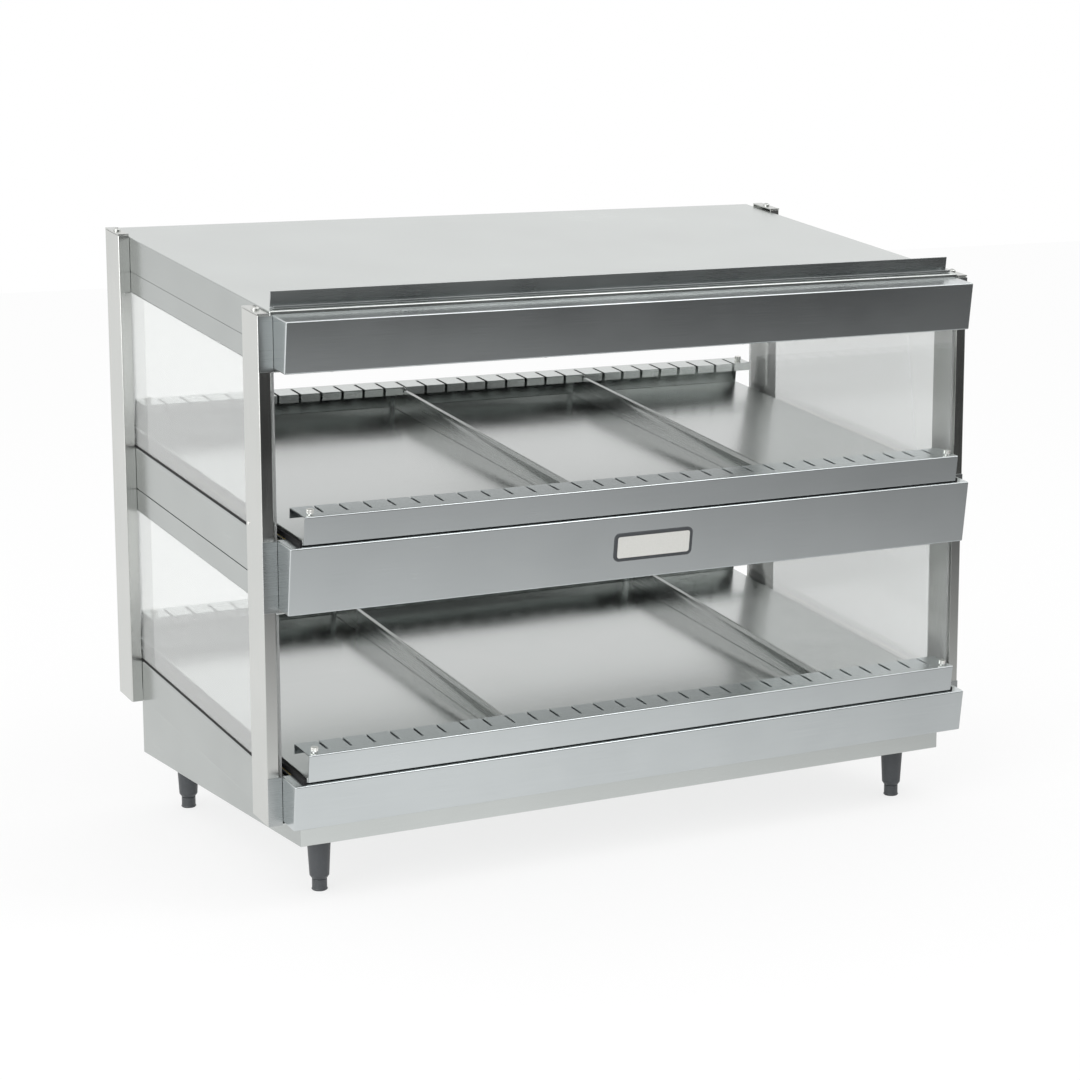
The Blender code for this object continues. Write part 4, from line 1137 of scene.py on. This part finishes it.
# The walls' fades start and end at these shares of a direction: 1 is straight along its axis.
WALL_AHEAD = (-0.75, -0.35)
WALL_NOT_LEFT = (-0.45, -0.1)
WALL_LOW = (0.15, 0.5)
WALL_BEHIND = (0.4, 0.8)
DARKEST_WALL = 0.12
REAR_WALL = 0.88
WHITE = (1, 1, 1, 1)


def grey(share):
    """A linear grey."""
    return (share, share, share, 1)


def ramp(tree, source, output, start, end, low, high):
    """A value that goes from low to high while the source goes from start to end."""
    values = {"From Min": start, "From Max": end, "To Min": low, "To Max": high}
    return add(tree, "ShaderNodeMapRange", values, {"Value": (source, output)})


def join(tree, operation, first, second):
    """The product, the larger or the like of two nodes' first outputs."""
    return add(tree, "ShaderNodeMath", {"operation": operation}, {0: (first, 0), 1: (second, 0)})


def seen_plainly(tree):
    """One for rays from the camera, straight or through glass."""
    path = add(tree, "ShaderNodeLightPath")
    values = {"operation": "MAXIMUM"}
    return add(tree, "ShaderNodeMath", values, {0: (path, "Is Camera Ray"), 1: (path, "Is Transmission Ray")})


def studio_floor():
    """White paper that fades to grey in front of the cabinet, as mirrored in it."""
    material, tree = empty_material("studio paper")
    place = add(tree, "ShaderNodeTexCoord")
    split = add(tree, "ShaderNodeSeparateXYZ", links={"Vector": (place, "Object")})
    depth = ramp(tree, split, "Y", *FADE_FROM_FRONT, 0.0, 1.0)
    near = add(tree, "ShaderNodeValToRGB", links={"Fac": (depth, 0)})
    near.color_ramp.elements[0].color = grey(FAR_TONE)
    near.color_ramp.elements[1].color = grey(NEAR_TONE)
    for place_along, share in TONES_BETWEEN:
        near.color_ramp.elements.new(place_along).color = grey(share)
    right = ramp(tree, split, "X", *FADE_TO_RIGHT, 1.0, RIGHT_TONE)
    left = ramp(tree, split, "X", *FADE_TO_LEFT, LEFT_TONE, 0.0)
    fade = join(tree, "MAXIMUM", join(tree, "MULTIPLY", near, right), left)
    plain = seen_plainly(tree)
    tone = add(tree, "ShaderNodeMix", {"data_type": "FLOAT", 3: FLOOR_SEEN}, {0: (plain, 0), 2: (fade, 0)})
    glow_tone = add(tree, "ShaderNodeMix", {"data_type": "FLOAT", 3: 1.0}, {0: (plain, 0), 2: (fade, 0)})
    path = add(tree, "ShaderNodeLightPath")
    values = {"operation": "MAXIMUM"}
    mirrored = add(tree, "ShaderNodeMath", values, {0: (plain, 0), 1: (path, "Is Glossy Ray")})
    lift = add(tree, "ShaderNodeMath", {"operation": "MULTIPLY", 1: FLOOR_LIFT}, {0: (mirrored, 0)})
    paper = add(tree, "ShaderNodeBsdfDiffuse", links={"Color": (tone, 0)})
    glow = add(tree, "ShaderNodeEmission", links={"Color": (glow_tone, 0)})
    both = add(tree, "ShaderNodeMixShader", links={0: (lift, 0), 1: (paper, 0), 2: (glow, 0)})
    add(tree, "ShaderNodeOutputMaterial", links={"Surface": (both, 0)})
    return material


bm = bmesh.new()
bmesh.ops.create_grid(bm, x_segments=1, y_segments=1, size=FLOOR_SIZE / 2)
mesh = bpy.data.meshes.new("studio_floor")
bm.to_mesh(mesh)
bm.free()
mesh.materials.append(studio_floor())
floor = bpy.data.objects.new("studio_floor", mesh)
bpy.context.scene.collection.objects.link(floor)

world = bpy.data.worlds.new("white room")
world.use_nodes = True
tree = world.node_tree
tree.nodes.clear()
place = add(tree, "ShaderNodeTexCoord")
aim = add(tree, "ShaderNodeSeparateXYZ", links={"Vector": (place, "Generated")})
ahead = ramp(tree, aim, "Y", *WALL_AHEAD, 1.0, 0.0)
not_left = ramp(tree, aim, "X", *WALL_NOT_LEFT, 0.0, 1.0)
low_down = ramp(tree, aim, "Z", *WALL_LOW, 1.0, 0.0)
dark_side = join(tree, "MULTIPLY", join(tree, "MULTIPLY", ahead, not_left), low_down)
front = ramp(tree, dark_side, 0, 0.0, 1.0, 1.0, DARKEST_WALL)
back = ramp(tree, aim, "Y", *WALL_BEHIND, 1.0, REAR_WALL)
level = join(tree, "MULTIPLY", front, back)
strength = join(tree, "MAXIMUM", level, seen_plainly(tree))
room = add(tree, "ShaderNodeBackground", {"Color": WHITE}, {"Strength": (strength, 0)})
add(tree, "ShaderNodeOutputWorld", links={"Surface": (room, 0)})
bpy.context.scene.world = world


def soft_lamp(name, place, aim, size, power):
    """A large square lamp aimed at a point."""
    data = bpy.data.lights.new(name, "AREA")
    data.shape = "SQUARE"
    data.size = size
    data.energy = power
    lamp = bpy.data.objects.new(name, data)
    lamp.location = place
    lamp.rotation_euler = (Vector(aim) - Vector(place)).to_track_quat("-Z", "Y").to_euler()
    bpy.context.scene.collection.objects.link(lamp)


soft_lamp("key_lamp", place=(-2.2, -1.6, 2.6), aim=(0, 0, 0.3), size=1.6, power=9)
soft_lamp("fold_lamp", place=(1.5, -1.2, 3.0), aim=(0, 0, 0.4), size=1.2, power=12)
soft_lamp("edge_lamp", place=(-2.5, -1.35, 0.8), aim=(-0.3, -0.2, 0.4), size=1.2, power=12)
bpy.context.scene.view_settings.view_transform = "Standard"
